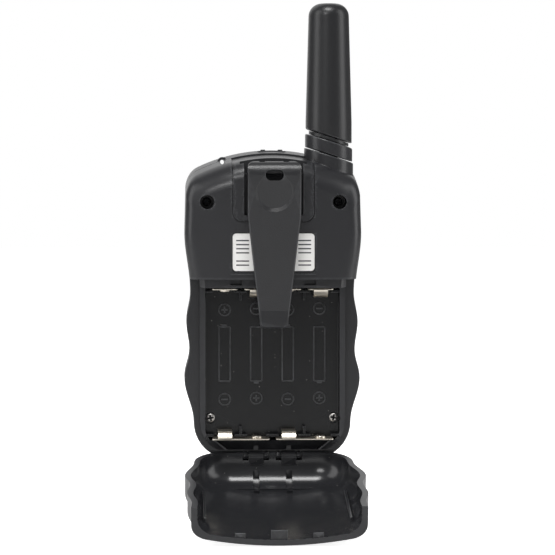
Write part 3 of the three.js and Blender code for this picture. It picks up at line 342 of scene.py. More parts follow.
def rod(along: Along, centre: Point, radius: float, span: Span,
        ends: Span = (0.0, 0.0), sides: int = 48) -> Solid:
    """Makes a cylinder.

    Args:
        along: the axis that it runs along.
        centre: its centre in the outline's own two axes.
        radius: its radius.
        span: where it starts and ends on that axis.
        ends: the edge radius at the start and at the end; negative flares outwards.
        sides: how many flats make the round.

    Returns:
        The solid.
    """
    return prism(along, arc(centre, radius, 0, 360 - 360 / sides, sides - 1), span, ends)


def turned(profile: list[Point], centre: Point, sides: int = 96) -> Solid:
    """Turns a profile of (radius, height) round an upright line; it starts and ends on that line.

    Args:
        profile: the pairs from the bottom to the top.
        centre: x and y of the line.
        sides: how many flats make the round.

    Returns:
        The solid.
    """
    turns = 2 * np.pi * np.arange(sides) / sides
    rings = []
    for radius, height in profile:
        size = max(radius, 1e-3)
        rings.append(np.stack([
            centre[0] + size * np.cos(turns), centre[1] + size * np.sin(turns), np.full(sides, height),
        ], axis=1))
    return sweep(rings)


# ---------------------------------------------------------------- finishes


class Socket(Enum):
    """Kinds of value that a shader group takes in or puts out."""

    VALUE = "NodeSocketFloat"
    COLOUR = "NodeSocketColor"
    VECTOR = "NodeSocketVector"


class Pattern:
    """A shader node group under construction, with named inputs and outputs."""

    def __init__(self, name: str, inputs: dict[str, float | tuple], outputs: dict[str, Socket]) -> None:
        """Opens the group.

        Args:
            name: the group's name.
            inputs: each input and its default, a number or a colour.
            outputs: each output and its kind.
        """
        self.tree = bpy.data.node_groups.new(name, "ShaderNodeTree")
        for label, default in inputs.items():
            kind = Socket.VALUE if isinstance(default, float) else Socket.COLOUR
            put = self.tree.interface.new_socket(label, in_out="INPUT", socket_type=kind.value)
            put.default_value = default
        for label, kind in outputs.items():
            self.tree.interface.new_socket(label, in_out="OUTPUT", socket_type=kind.value)
        self.entry = self.tree.nodes.new("NodeGroupInput").outputs
        self.exit = self.tree.nodes.new("NodeGroupOutput").inputs

    def node(self, kind: str, links: dict | None = None, **settings) -> bpy.types.Node:
        """Adds a node, sets it and feeds its inputs.

        Args:
            kind: the shader node's type name.
            links: input name or number to an output socket or a plain value.
            settings: the node's own properties.

        Returns:
            The node.
        """
        return add_node(self.tree, kind, links, **settings)

    def math(self, operation: str, first: "Value", second: "Value") -> bpy.types.NodeSocket:
        """Adds one sum of two sockets or plain numbers and gives its result."""
        return self.node("ShaderNodeMath", {0: first, 1: second}, operation=operation).outputs[0]

    def give(self, label: str, value: bpy.types.NodeSocket) -> None:
        """Feeds the group's output of that label."""
        self.tree.links.new(value, self.exit[label])


def add_node(tree: bpy.types.NodeTree, kind: str, links: dict | None = None, **settings) -> bpy.types.Node:
    """Adds a node to a tree, sets it and feeds its inputs.

    Args:
        tree: the tree that gets the node.
        kind: the shader node's type name.
        links: input name or number to an output socket or a plain value.
        settings: the node's own properties.

    Returns:
        The node.
    """
    node = tree.nodes.new(kind)
    for key, value in settings.items():
        setattr(node, key, value)
    for key, value in (links or {}).items():
        if isinstance(value, bpy.types.NodeSocket):
            tree.links.new(value, node.inputs[key])
        else:
            node.inputs[key].default_value = value
    return node


def grain_pattern() -> bpy.types.NodeTree:
    """Moulded grain: a height for Bump and a faint mottling, sized by the grain's pitch in metres.

    Returns:
        The node group.
    """
    group = Pattern("moulded_grain", {"Pitch": 0.0004, "Depth": 0.5, "Mottle": 0.5},
                    {"Height": Socket.VALUE, "Mask": Socket.VALUE})
    where = group.node("ShaderNodeTexCoord").outputs["Object"]
    scale = group.math("DIVIDE", 1.0, group.entry["Pitch"])
    fine = group.node("ShaderNodeTexNoise", {
        "Vector": where, "Scale": scale, "Detail": 3.0, "Roughness": 0.6})
    cells = group.node("ShaderNodeTexVoronoi", {"Vector": where, "Scale": scale}, feature="SMOOTH_F1")
    mixed = group.math("ADD", fine.outputs[0], cells.outputs["Distance"])
    height = group.math("MULTIPLY", mixed, group.entry["Depth"])
    broad = group.node("ShaderNodeTexNoise", {"Vector": where, "Scale": 90.0, "Detail": 4.0})
    spread = group.node("ShaderNodeMapRange", {0: broad.outputs[0], 1: 0.35, 2: 0.65, 3: 0.0, 4: 1.0})
    group.give("Height", height)
    group.give("Mask", group.math("MULTIPLY", spread.outputs[0], group.entry["Mottle"]))
    return group.tree


def wear_pattern() -> bpy.types.NodeTree:
    """Rubbed edges: 1 on narrow outward rounds, broken up by noise, 0 on flats.

    Returns:
        The node group.
    """
    group = Pattern("edge_wear", {"Amount": 0.5, "Start": 0.4, "End": 2.4}, {"Mask": Socket.VALUE})
    where = group.node("ShaderNodeTexCoord").outputs["Object"]
    bend = group.node("ShaderNodeAttribute", attribute_name="bend")
    edge = group.node("ShaderNodeMapRange", {
        0: bend.outputs["Fac"], 1: group.entry["Start"], 2: group.entry["End"]})
    plain = group.math("SUBTRACT", 1.0, bend.outputs["Alpha"])
    shape = group.node("ShaderNodeNewGeometry").outputs["Pointiness"]
    corner = group.node("ShaderNodeMapRange", {0: shape, 1: 0.53, 2: 0.6})
    spare = group.math("MULTIPLY", corner.outputs[0], plain)
    either = group.math("MAXIMUM", edge.outputs[0], spare)
    chips = group.node("ShaderNodeTexNoise", {"Vector": where, "Scale": 700.0, "Detail": 5.0})
    broken = group.node("ShaderNodeMapRange", {0: chips.outputs[0], 1: 0.3, 2: 0.6, 3: 0.35, 4: 1.0})
    both = group.math("MULTIPLY", either, broken.outputs[0])
    group.give("Mask", group.math("MULTIPLY", both, group.entry["Amount"]))
    return group.tree


def dust_pattern() -> bpy.types.NodeTree:
    """Scattered specks and fine scratches: a mask that is mostly 0.

    Returns:
        The node group.
    """
    group = Pattern("dust", {"Density": 0.3, "Speck": 0.0011}, {"Mask": Socket.VALUE})
    where = group.node("ShaderNodeTexCoord").outputs["Object"]
    scale = group.math("DIVIDE", 1.0, group.entry["Speck"])
    specks = group.node("ShaderNodeTexVoronoi", {"Vector": where, "Scale": scale, "Randomness": 1.0})
    near = group.node("ShaderNodeMapRange", {0: specks.outputs["Distance"], 1: 0.16, 2: 0.05})
    pick = group.node("ShaderNodeSeparateColor", {0: specks.outputs["Color"]})
    chance = group.math("LESS_THAN", pick.outputs[0], group.entry["Density"])
    group.give("Mask", group.math("MULTIPLY", near.outputs[0], chance))
    return group.tree


class Shared(Enum):
    """Shader groups that more than one finish uses, built once each."""

    GRAIN = "moulded_grain"
    WEAR = "edge_wear"
    DUST = "dust"

    def tree(self) -> bpy.types.NodeTree:
        """Gives the group, building it the first time."""
        makers = {Shared.GRAIN: grain_pattern, Shared.WEAR: wear_pattern, Shared.DUST: dust_pattern}
        return bpy.data.node_groups.get(self.value) or makers[self]()


DUST_COLOUR = (0.32, 0.31, 0.29, 1.0)


@dataclass(frozen=True)
class Finish:
    """How a surface is coloured and how it shines."""

    name: str
    slot: str
    colour: tuple[float, float, float]
    roughness: float
    metallic: float = 0.0
    worn: tuple[float, float, float] = (0.16, 0.165, 0.175)
    wear: float = 0.25
    grain: float = 0.00035
    bump: float = 0.12
    mottle: float = 0.35
    dust: float = 0.0
    coat: float = 0.0
    specular: float = 0.5
    alpha: float = 1.0

    def material(self) -> bpy.types.Material:
        """Builds the material, or gives the one already built.

        Returns:
            The material.
        """
        made = bpy.data.materials.get(self.name)
        if made:
            return made
        made = bpy.data.materials.new(self.name)
        made.use_nodes = True
        tree = made.node_tree
        shader = tree.nodes["Principled BSDF"]
        kind = "ShaderNodeGroup"
        grain = add_node(tree, kind, {"Pitch": self.grain, "Mottle": self.mottle},
                         node_tree=Shared.GRAIN.tree())
        wear = add_node(tree, kind, {"Amount": self.wear}, node_tree=Shared.WEAR.tree())
        dust = add_node(tree, kind, {"Density": self.dust}, node_tree=Shared.DUST.tree())
        dark = tuple(0.82 * c for c in self.colour)
        base = self._mix(tree, grain.outputs["Mask"], (*self.colour, 1), (*dark, 1))
        base = self._mix(tree, wear.outputs["Mask"], base, (*self.worn, 1))
        base = self._mix(tree, dust.outputs["Mask"], base, DUST_COLOUR)
        tree.links.new(base, shader.inputs["Base Color"])
        rough = add_node(tree, "ShaderNodeMapRange", {
            0: grain.outputs["Mask"], 3: self.roughness, 4: min(self.roughness + 0.09, 1.0)})
        tree.links.new(rough.outputs[0], shader.inputs["Roughness"])
        bump = add_node(tree, "ShaderNodeBump", {
            "Height": grain.outputs["Height"], "Strength": self.bump, "Distance": self.grain * 0.35})
        tree.links.new(bump.outputs[0], shader.inputs["Normal"])
        shader.inputs["Metallic"].default_value = self.metallic
        shader.inputs["Specular IOR Level"].default_value = self.specular
        shader.inputs["Coat Weight"].default_value = self.coat
        shader.inputs["Coat Roughness"].default_value = 0.12
        shader.inputs["Alpha"].default_value = self.alpha
        return made

    @staticmethod
    def _mix(tree: bpy.types.NodeTree, factor: Value, first: Colour, second: Colour) -> bpy.types.NodeSocket:
        """Mixes two colours, each a socket or a plain value, by a factor."""
        links = {0: factor, 6: first, 7: second}
        return add_node(tree, "ShaderNodeMix", links, data_type="RGBA").outputs[2]


SHELL = Finish("shell_plastic", "shell", (0.019, 0.0192, 0.0215), 0.3, bump=0.1, mottle=0.25, wear=0.25)
TRAY = Finish("tray_plastic", "shell", (0.022, 0.0225, 0.025), 0.2,
              grain=0.0006, bump=0.04, dust=0.12, mottle=0.2, wear=0.2)
# Painted shade: a darker copy of the shell plastic for the compartment's floor and walls, standing in for the
# shade of its depth.
POCKET_SHADE = Finish("pocket_painted_shade", "shell", (0.007, 0.0072, 0.008), 0.24,
                grain=0.0006, bump=0.04, dust=0.1, mottle=0.2, wear=0.2, specular=0.35)
# Painted shade: the raised cell marks are shell plastic darkened for the compartment's shade, a little less
# dark than the pocket floor.
MARK_PAINTED_SHADE = Finish("mark_painted_shade", "shell", (0.013, 0.0132, 0.0145), 0.3, grain=0.0006, bump=0.04, wear=0.3)
CLIP = Finish("clip_plastic", "clip", (0.016, 0.0162, 0.018), 0.33, grain=0.00045, bump=0.4, wear=0.35)
SHEATH = Finish("antenna_rubber", "antenna", (0.014, 0.0142, 0.0155), 0.33,
                grain=0.0003, bump=0.12, mottle=0.2, wear=0.15)
RUBBER = Finish("soft_rubber", "rubber", (0.022, 0.022, 0.024), 0.7, bump=0.2)
KEY = Finish("key_rubber", "key", (0.10, 0.105, 0.115), 0.55, bump=0.15)
FILM = Finish("label_film", "label", (0.87, 0.86, 0.84), 0.42,
              worn=(0.6, 0.59, 0.55), grain=0.0008, bump=0.03, mottle=0.12)
INK = Finish("label_ink", "label", (0.03, 0.03, 0.035), 0.5, bump=0.02)
NICKEL = Finish("nickel_strip", "contact", (0.80, 0.74, 0.64), 0.3, metallic=1.0,
                worn=(0.9, 0.86, 0.78), grain=0.0009, bump=0.08)
ZINC = Finish("zinc_screw", "steel", (0.50, 0.48, 0.46), 0.32, metallic=1.0,
              worn=(0.8, 0.79, 0.77), bump=0.1)
# Blacked steel of the upper screws; also painted shade in the cross slots of the zinc screws.
OXIDE_AND_SLOT_SHADE = Finish("blacked_screw_and_slot_shade", "steel", (0.03, 0.03, 0.032), 0.45, metallic=1.0,
               worn=(0.2, 0.2, 0.2), bump=0.1)
PANE = Finish("smoked_pane", "window", (0.02, 0.022, 0.024), 0.06,
              grain=0.002, bump=0.01, alpha=0.45, wear=0.0, mottle=0.0)
GLASS = Finish("display_glass", "display", (0.24, 0.29, 0.22), 0.18,
               grain=0.001, bump=0.01, wear=0.0, mottle=0.1)
BOARD = Finish("solder_mask", "board", (0.015, 0.10, 0.045), 0.3, bump=0.08)
EPOXY = Finish("chip_epoxy", "chip", (0.012, 0.012, 0.013), 0.5, bump=0.1)
WHITE = Finish("reflector_white", "white_plastic", (0.78, 0.78, 0.76), 0.45,
               worn=(0.7, 0.7, 0.68), bump=0.05)
CONE = Finish("speaker_paper", "cone", (0.016, 0.016, 0.017), 0.85, grain=0.0006, bump=0.5)
MAGNET = Finish("magnet_steel", "magnet", (0.12, 0.12, 0.13), 0.4, metallic=1.0)
RED = Finish("red_insulation", "lead_red", (0.38, 0.015, 0.015), 0.42, bump=0.03)
BLACK = Finish("black_insulation", "lead_black", (0.012, 0.012, 0.012), 0.42, bump=0.03)


def dress(piece: bpy.types.Object, finish: Finish) -> bpy.types.Object:
    """Gives a piece one finish all over.

    Args:
        piece: the piece.
        finish: its finish.

    Returns:
        The piece.
    """
    piece.data.materials.clear()
    piece.data.materials.append(finish.material())
    return piece


def install(piece: bpy.types.Object, finish: Finish, body: str, *nodes: str) -> bpy.types.Object:
    """Dresses a new piece, puts it on its body and lets it stand for its nodes.

    Args:
        piece: the piece, at the origin.
        finish: its finish.
        body: the body that it moves with.
        nodes: the nodes that it stands for.

    Returns:
        The piece.
    """
    dress(piece, finish)
    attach(piece, body)
    if nodes:
        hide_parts(*nodes)
    log.info("%s: %d faces on %s", piece.name, len(piece.data.polygons), body)
    return piece


def repaint(node: str, finish: Finish) -> None:
    """Gives a carried-over node its finish, leaving its mesh alone.

    Args:
        node: the node's name.
        finish: its finish.
    """
    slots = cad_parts[node].data.materials
    if len(slots) == 0:
        slots.append(finish.material())
    for number in range(len(slots)):
        slots[number] = finish.material()


# ---------------------------------------------------------------- repeats


def repeat(name: str, part: Solid, places: list[tuple[Point3, float]], finish: "Finish") -> bpy.types.Object:
    """Repeats one small part over points with Geometry Nodes and returns a plain mesh.

    Args:
        name: the piece's name.
        part: the part at the origin, in millimetres; it is used up.
        places: each copy's point in millimetres and its turn about Y in degrees.
        finish: the finish that the copies get.

    Returns:
        One piece that holds all the copies.
    """
    source = part.finish(f"{name}_source")
    seeds = bpy.data.meshes.new(f"{name}_places")
    seeds.from_pydata([tuple(MM * c for c in point) for point, _ in places], [], [])
    turns = seeds.attributes.new("turn", "FLOAT_VECTOR", "POINT")
    for item, (_, degrees) in zip(turns.data, places):
        item.vector = (0.0, math.radians(degrees), 0.0)
    piece = bpy.data.objects.new(name, seeds)
    bpy.context.scene.collection.objects.link(piece)
    tree = bpy.data.node_groups.new(f"{name}_repeat", "GeometryNodeTree")
    tree.interface.new_socket("Geometry", in_out="INPUT", socket_type="NodeSocketGeometry")
    part_socket = tree.interface.new_socket("Part", in_out="INPUT", socket_type="NodeSocketObject")
    look_socket = tree.interface.new_socket("Finish", in_out="INPUT", socket_type="NodeSocketMaterial")
    tree.interface.new_socket("Geometry", in_out="OUTPUT", socket_type="NodeSocketGeometry")
    entry = tree.nodes.new("NodeGroupInput").outputs
    info = add_node(tree, "GeometryNodeObjectInfo", {"Object": entry["Part"]}, transform_space="ORIGINAL")
    turn = add_node(tree, "GeometryNodeInputNamedAttribute", {"Name": "turn"}, data_type="FLOAT_VECTOR")
    copies = add_node(tree, "GeometryNodeInstanceOnPoints", {
        "Points": entry["Geometry"], "Instance": info.outputs["Geometry"], "Rotation": turn.outputs[0]})
    real = add_node(tree, "GeometryNodeRealizeInstances", {0: copies.outputs[0]})
    painted = add_node(tree, "GeometryNodeSetMaterial", {
        "Geometry": real.outputs[0], "Material": entry["Finish"]})
    tree.links.new(painted.outputs[0], tree.nodes.new("NodeGroupOutput").inputs[0])
    step = piece.modifiers.new("repeat", "NODES")
    step.node_group = tree
    step[part_socket.identifier] = source
    step[look_socket.identifier] = finish.material()
    graph = bpy.context.evaluated_depsgraph_get()
    made = bpy.data.meshes.new_from_object(piece.evaluated_get(graph), depsgraph=graph)
    piece.modifiers.clear()
    piece.data = made
    made.name = name
    bpy.data.objects.remove(source)
    return piece


# ---------------------------------------------------------------- the case


@dataclass(frozen=True)
class Shell:
    """Sizes of the case's outline, which both housings and the door share."""

    height: float = 107.3
    half_width: float = 30.4
    front: float = -14.0
    back: float = 13.0
    seam: float = 0.2
    flange: float = 2.0
    corner: float = 13.0
    crown: float = 60.0
    crest: float = -5.0
    fall: float = 0.2
    side_round: float = 4.5
    top_round: float = 7.0
    front_round: float = 4.0
    end_round: float = 8.0
    wall: float = 2.0
    clear: float = 0.3
    bulge: float = 2.6
    well: Point = (89.5, 22.7)
    cord_eye: Point = (103.2, 17.2)
    cord_hole: float = 0.8
    grip: tuple[Point, ...] = ((13, 3.1), (28.4, -0.1), (38.1, 1.65), (47.8, 0.6), (58.0, 2.0), (79.0, 0.0))
    shoulder: tuple[float, float, float, float] = (12.3, 0.4, 7.4, 4.9)

    def half_at(self, z: float) -> float:
        """Gives the case's half-width at a height between the bottom corner and the shoulder.

        Args:
            z: the height.

        Returns:
            The half-width.
        """
        heights = [at for at, _ in self.grip]
        if z <= heights[0] or z >= heights[-1]:
            return self.half_width - (self.grip[0] if z <= heights[0] else self.grip[-1])[1]
        upper = next(i for i, at in enumerate(heights) if at > z)
        (z0, in0), (z1, in1) = self.grip[upper - 1], self.grip[upper]
        ease = (1 - math.cos(math.pi * (z - z0) / (z1 - z0))) / 2
        return self.half_width - in0 - (in1 - in0) * ease

    def ring(self, side: float = 0.0, top: float | None = None, bottom: float | None = None) -> np.ndarray:
        """Gives the outline seen from the back.

        Args:
            side: how far the sides are drawn in.
            top: how far the arched top is drawn in.
            bottom: how far the bottom is drawn in.

        Returns:
            Rows of x and z.
        """
        top = side if top is None else top
        bottom = side if bottom is None else bottom
        start, lean, control, span = self.shoulder
        flat = self.half_width - self.grip[0][1] - self.corner
        half: list[Point] = []
        for turn in np.radians(np.linspace(-90, 0, 13)[:-1]):
            half.append((flat + (self.corner - side) * math.cos(turn),
                         self.corner + (self.corner - bottom) * math.sin(turn)))
        for z in np.linspace(self.grip[0][0], self.grip[-1][0], 57):
            half.append((self.half_at(float(z)) - side, float(z)))
        middle = self.height - self.crown
        radius = self.crown - top
        corner_x = self.half_width - span - side
        corner_z = middle + math.sqrt(radius ** 2 - corner_x ** 2)
        p0 = np.array([self.half_width - lean - side, self.height - start - top])
        p1 = np.array([self.half_width - 3 * lean - side, self.height - control - top])
        p2 = np.array([corner_x, corner_z])
        for t in np.linspace(0, 1, 13):
            at = (1 - t) ** 2 * p0 + 2 * t * (1 - t) * p1 + t ** 2 * p2
            half.append((float(at[0]), float(at[1])))
        swing = math.asin(corner_x / radius)
        for turn in np.linspace(swing, 0, 15)[1:]:
            half.append((radius * math.sin(turn), middle + radius * math.cos(turn)))
        return np.array(half + [(-x, z) for x, z in half[-2::-1]])

    def drop(self, y: float) -> float:
        """Gives how far the arched top has fallen below its crest at y."""
        return self.fall * max(y - self.crest, 0.0)

    @staticmethod
    def _drawn(radius: float, depth: float) -> float:
        """Gives how far a quarter-round edge has drawn in at a depth past its start."""
        return radius - math.sqrt(max(radius ** 2 - max(depth, 0.0) ** 2, 0.0))

    def cord_channel(self) -> Solid:
        """Makes the wrist cord's channel, which runs through both housings."""
        return rod(Along.Y, self.cord_eye, self.cord_hole, (-15, 14))

    @staticmethod
    def _loft(sections: list[tuple[float, np.ndarray]]) -> Solid:
        """Makes a body through (y, ring) sections."""
        return sweep([lift(ring[:, ::-1], Along.Y, y) for y, ring in sections])

    def rise(self, x: np.ndarray | float) -> np.ndarray | float:
        """Gives how far the crowned back face stands above its sides at x."""
        return self.bulge * np.maximum(1 - (x / (self.half_width - self.side_round)) ** 2, 0)

    def _crowned(self, sections: list[tuple[float, np.ndarray]]) -> Solid:
        """Makes a body whose back end is crowned across its width.

        Args:
            sections: each plane of y with its ring, from front to back.

        Returns:
            The solid.
        """
        last_y, last = sections[-1]
        narrowed = [(last_y, last * (share, 1.0)) for share in np.linspace(1, 0.004, 22)[1:]]
        rings = []
        for y, ring in [*sections, *narrowed]:
            points = lift(ring[:, ::-1], Along.Y, y)
            points[:, 1] += max(y - self.flange, 0.0) / (last_y - self.flange) * self.rise(points[:, 0])
            rings.append(points)
        return sweep(rings)

    def back_body(self, start: float, inset: float = 0.0, top: float | None = None,
                  top_round: float | None = None) -> Solid:
        """Makes the case's upper body, its back edge rounded at the sides and the top.

        Args:
            start: the plane of y that it lies behind.
            inset: how far it is drawn in all round.
            top: where its back face lies at the sides, if not at the case's back.
            top_round: the radius along the arched top, if not the case's own.

        Returns:
            The solid.
        """
        top = self.back - inset if top is None else top
        rounded = self.top_round if top_round is None else top_round
        depths = [top - self.top_round * (1 - math.sin(a)) for a in np.linspace(0, math.pi / 2, 12)]
        return self._crowned([(y, self.ring(
            inset + self._drawn(self.side_round, y - top + self.side_round),
            inset + self._drawn(rounded, y - top + rounded) + self.drop(y),
            inset,
        )) for y in [start, *depths]])

    def on_back(self, face: list[Point], near: float, far: float) -> Solid:
        """Makes the layer of an outline that follows the crowned back face.

        Args:
            face: the outline.
            near: how deep the layer's outer side lies below the face; negative stands proud.
            far: how deep its inner side lies.

        Returns:
            The solid.
        """
        blank = prism(Along.Y, face, (0, self.back + self.bulge - near))
        return blank.keep(self.back_body(0.0, near)).cut(self.back_body(0.0, far))

    def door_tray(self, start: float, inset: float) -> Solid:
        """Makes the closed door's body: the round edges carried on round the bottom.

        Args:
            start: the plane of y that it lies behind.
            inset: how far it is drawn in all round.

        Returns:
            The solid.
        """
        top = self.back - inset
        depths = [top - self.end_round * (1 - math.sin(a)) for a in np.linspace(0, math.pi / 2, 14)]
        return self._crowned([(y, self.ring(
            inset + self._drawn(self.side_round, y - top + self.side_round),
            inset,
            inset + self._drawn(self.end_round, y - top + self.end_round),
        )) for y in [start, *depths]])

    def front_body(self, end: float, inset: float = 0.0) -> Solid:
        """Makes the case's front body, its front edge rounded all round.

        Args:
            end: the plane of y that it lies in front of.
            inset: how far it is drawn in all round.

        Returns:
            The solid.
        """
        top = -self.front - inset
        sections = []
        for turn in np.linspace(math.pi / 2, 0, 10):
            depth = top - self.front_round * (1 - math.sin(turn))
            drawn = self._drawn(self.front_round, depth - top + self.front_round)
            sections.append((-depth, self.ring(inset + drawn)))
        sections.append((self.crest, self.ring(inset)))
        sections.append((end, self.ring(inset, inset + self.drop(end))))
        return self._loft(sections)

    def slab(self, inset: float, span: Span, ease: float = 0.0) -> Solid:
        """Makes a slab of the outline.

        Args:
            inset: how far it is drawn in all round.
            span: where it starts and ends on Y.
            ease: the radius that its far edge is eased by.

        Returns:
            The solid.
        """
        far = [(span[1] - d, r) for d, r in reversed(rounding(ease, 3))] if ease else [(span[1], 0.0)]
        steps = [(span[0], 0.0), *far]
        return self._loft([(y, self.ring(inset + r, inset + r + self.drop(y))) for y, r in steps])


@dataclass(frozen=True)
class Antenna:
    """The stub antenna and the collar that it stands in."""

    x: float = -19.7
    y: float = -0.6
    slope_deg: float = 17.5
    tip: float = 158.0
    top_r: float = 7.0
    base_r: float = 8.0
    sheath_bottom: float = 112.1
    neck_r: float = 6.9
    ring_r: float = 8.2
    ring_top: float = 110.5
    ring_bottom: float = 105.9
    collar_top: float = 105.5
    collar_r: float = 8.5
    foot: float = 95.0
    core_r: float = 3.2
    bore_r: float = 3.5

    def bore(self, span: Span) -> Solid:
        """Makes the hole that the antenna's stem stands in."""
        return rod(Along.Z, (self.x, self.y), self.bore_r, span)

    def _sheared(self, profile: list[Point], level: float) -> Solid:
        """Turns a profile and shears its upper part, so that its round edges follow the slant.

        Args:
            profile: pairs of radius and height from the bottom to the top.
            level: the height that the shear starts above.

        Returns:
            The solid.
        """
        made = turned(profile, (self.x, self.y))
        tilt = math.tan(math.radians(self.slope_deg))
        for vertex in made.item.data.vertices:
            if vertex.co.z > level:
                vertex.co.z += (vertex.co.x - self.x) * tilt
        return made

    def collar(self) -> Solid:
        """Makes the collar that grows out of the case's shoulder.

        Returns:
            The solid.
        """
        top, r = self.collar_top, self.collar_r
        edge = [(r - d_in, top - d) for d, d_in in reversed(rounding(0.4, 4))]
        skirt = [(r + 1.6, self.foot), (r + 1.4, top - 7.4), (r + 0.8, top - 6.2), (r + 0.3, top - 5.0),
                 (r, top - 3.8)]
        return self._sheared([(0, self.foot), *skirt, *edge, (0, top)], top - 9)

    def ring(self) -> Solid:
        """Makes the loose-looking ring between the collar and the sheath.

        Returns:
            The solid.
        """
        r = self.ring_r
        low = [(r - d_in, self.ring_bottom + d) for d, d_in in rounding(0.2, 3)]
        high = [(r - d_in, self.ring_top - d) for d, d_in in reversed(rounding(0.55, 5))]
        blank = self._sheared([(0, self.ring_bottom), *low, *high, (0, self.ring_top)], 0)
        return blank.cut(self.bore((90, 130)))

    def neck(self) -> Solid:
        """Makes the narrow band between the ring and the sheath, and the stem below it.

        Returns:
            The solid.
        """
        top = self.sheath_bottom - 0.3
        band = self._sheared([(0, self.ring_top + 0.3), (self.neck_r, self.ring_top + 0.3),
                              (self.neck_r, top), (0, top)], 0)
        return band.add(rod(Along.Z, (self.x, self.y), self.core_r, (self.foot, 112)))

    def sheath(self) -> Solid:
        """Makes the soft sheath with its domed tip.

        Returns:
            The solid.
        """
        low, r = self.sheath_bottom, self.base_r
        foot = [(r - d_in, low + d) for d, d_in in rounding(0.5, 4)]
        dome = [(self.top_r - 4.5 + 4.5 * math.cos(a), self.tip - 4.5 + 4.5 * math.sin(a))
                for a in np.linspace(0.02, math.pi / 2, 16)]
        made = turned([(0, low), *foot, (r, low + 5), *dome, (0, self.tip)], (self.x, self.y), 128)
        tilt = math.tan(math.radians(self.slope_deg))
        for vertex in made.item.data.vertices:
            if vertex.co.z < low + 2:
                vertex.co.z += (vertex.co.x - self.x) * tilt
        return made

    def build(self) -> None:
        """Builds and dresses the antenna's three visible pieces."""
        install(self.sheath().finish("sheath"), SHEATH, "case", "antenna_sheath", "antenna_coil")
        install(self.neck().finish("neck"), SHEATH, "case", "antenna_core")
        install(self.ring().finish("ring"), SHELL, "case", "antenna_ring")


WIDE = (-40.0, 40.0)


@dataclass(frozen=True)
class Tub:
    """Sizes of the cell compartment that the rear housing holds."""

    half_width: float = 23.25
    bottom: float = 7.0
    top: float = 60.0
    floor: float = 0.0
    floor_out: float = -1.6
    rim: float = 5.0
    rim_wall: float = 1.9
    ledge_end: float = 63.0
    ledge_top: float = 10.8
    pitch: float = 11.0
    polarity: tuple[int, ...] = (1, -1, 1, -1)
    screw: Point = (14.3, 21.4)
    hook_x: float = 5.7
    tabs: tuple[Point, ...] = ((-12.7, 3.4), (0.0, 5.4), (12.7, 3.4))

    def column(self, number: int) -> float:
        """Gives the X of a cell's middle; column 0 is on the +X side."""
        return (1.5 - number) * self.pitch


@dataclass(frozen=True)
class Clip:
    """Sizes of the belt clip and of the boss that it slides in."""

    plate_half: float = 11.2
    boss_half: float = 13.75
    mouth_half: float = 10.1
    boss_bottom: float = 83.0
    boss_y: float = 13.6
    floor: float = 10.2
    lip: float = 12.3
    tongue_top: float = 102.6
    bend_top: float = 103.4
    length: float = 56.0
    tongue_half: float = 9.05
    shoulder: float = 17.9
    tip_half: float = 4.9
    thick: float = 2.2
    gap: float = 0.3
    plate_thick: float = 1.4
    plate_low: float = 85.3
    plate_top: float = 99.4
    eye_drop: float = 3.9
    eye: Point = (1.8, 3.05)
    strap_gap: Span = (3.1, 5.1)
    groove: float = 0.4
    rim: float = 0.45
    out: float = 24.0
    tip_out: float = 19.4
    dish_r: float = 6.9
    dish_drop: float = 9.9
    dish_depth: float = 0.62
    dish_fall: float = 0.055

    def boss_face(self, shell: Shell, grow: float, past: float = 1.0) -> list[Point]:
        """Gives the boss's outline.

        Args:
            shell: the case that carries the boss.
            grow: how far the outline is moved out all round.
            past: how far it runs on past the case's top.

        Returns:
            The outline.
        """
        half = self.boss_half + grow
        return round_rect((self.boss_bottom - grow, shell.height + past), (-half, half), 3 + max(grow, 0))

    def boss(self, shell: Shell) -> Solid:
        """Makes the raised boss with the two rails, its rim eased in two steps.

        Args:
            shell: the case that carries the boss.

        Returns:
            The solid.
        """
        crest = 5.0
        blank = prism(Along.Y, self.boss_face(shell, 0.0), (self.floor - 2, self.boss_y + shell.bulge))
        blank.keep(shell.back_body(0.0, 0.0, self.boss_y, crest))
        for step, inset in ((0.0, self.rim), (0.14, 0.14)):
            around = block((-60, 60), (-5, 40), (0, 200))
            around.cut(prism(Along.Y, self.boss_face(shell, -inset, 2.0), (-6, 41)))
            blank.cut(around.cut(shell.back_body(0.0, 0.0, self.boss_y - self.rim + step, crest)))
        return blank

    def channel(self, shell: Shell) -> Solid:
        """Makes the room of the channel between the rails.

        Args:
            shell: the case that carries the boss.

        Returns:
            The solid.
        """
        runway = (self.boss_bottom + 2, shell.height + 1)
        wide = self.plate_half + self.gap
        slot = block((-wide, wide), (self.floor, self.lip), runway)
        mouth = round_rect(runway, (-self.mouth_half, self.mouth_half), 0.5, 3)
        top = self.boss_y + float(shell.rise(self.mouth_half))
        return slot.add(prism(Along.Y, mouth, (self.floor, top + 1), (0, -0.8), 4))


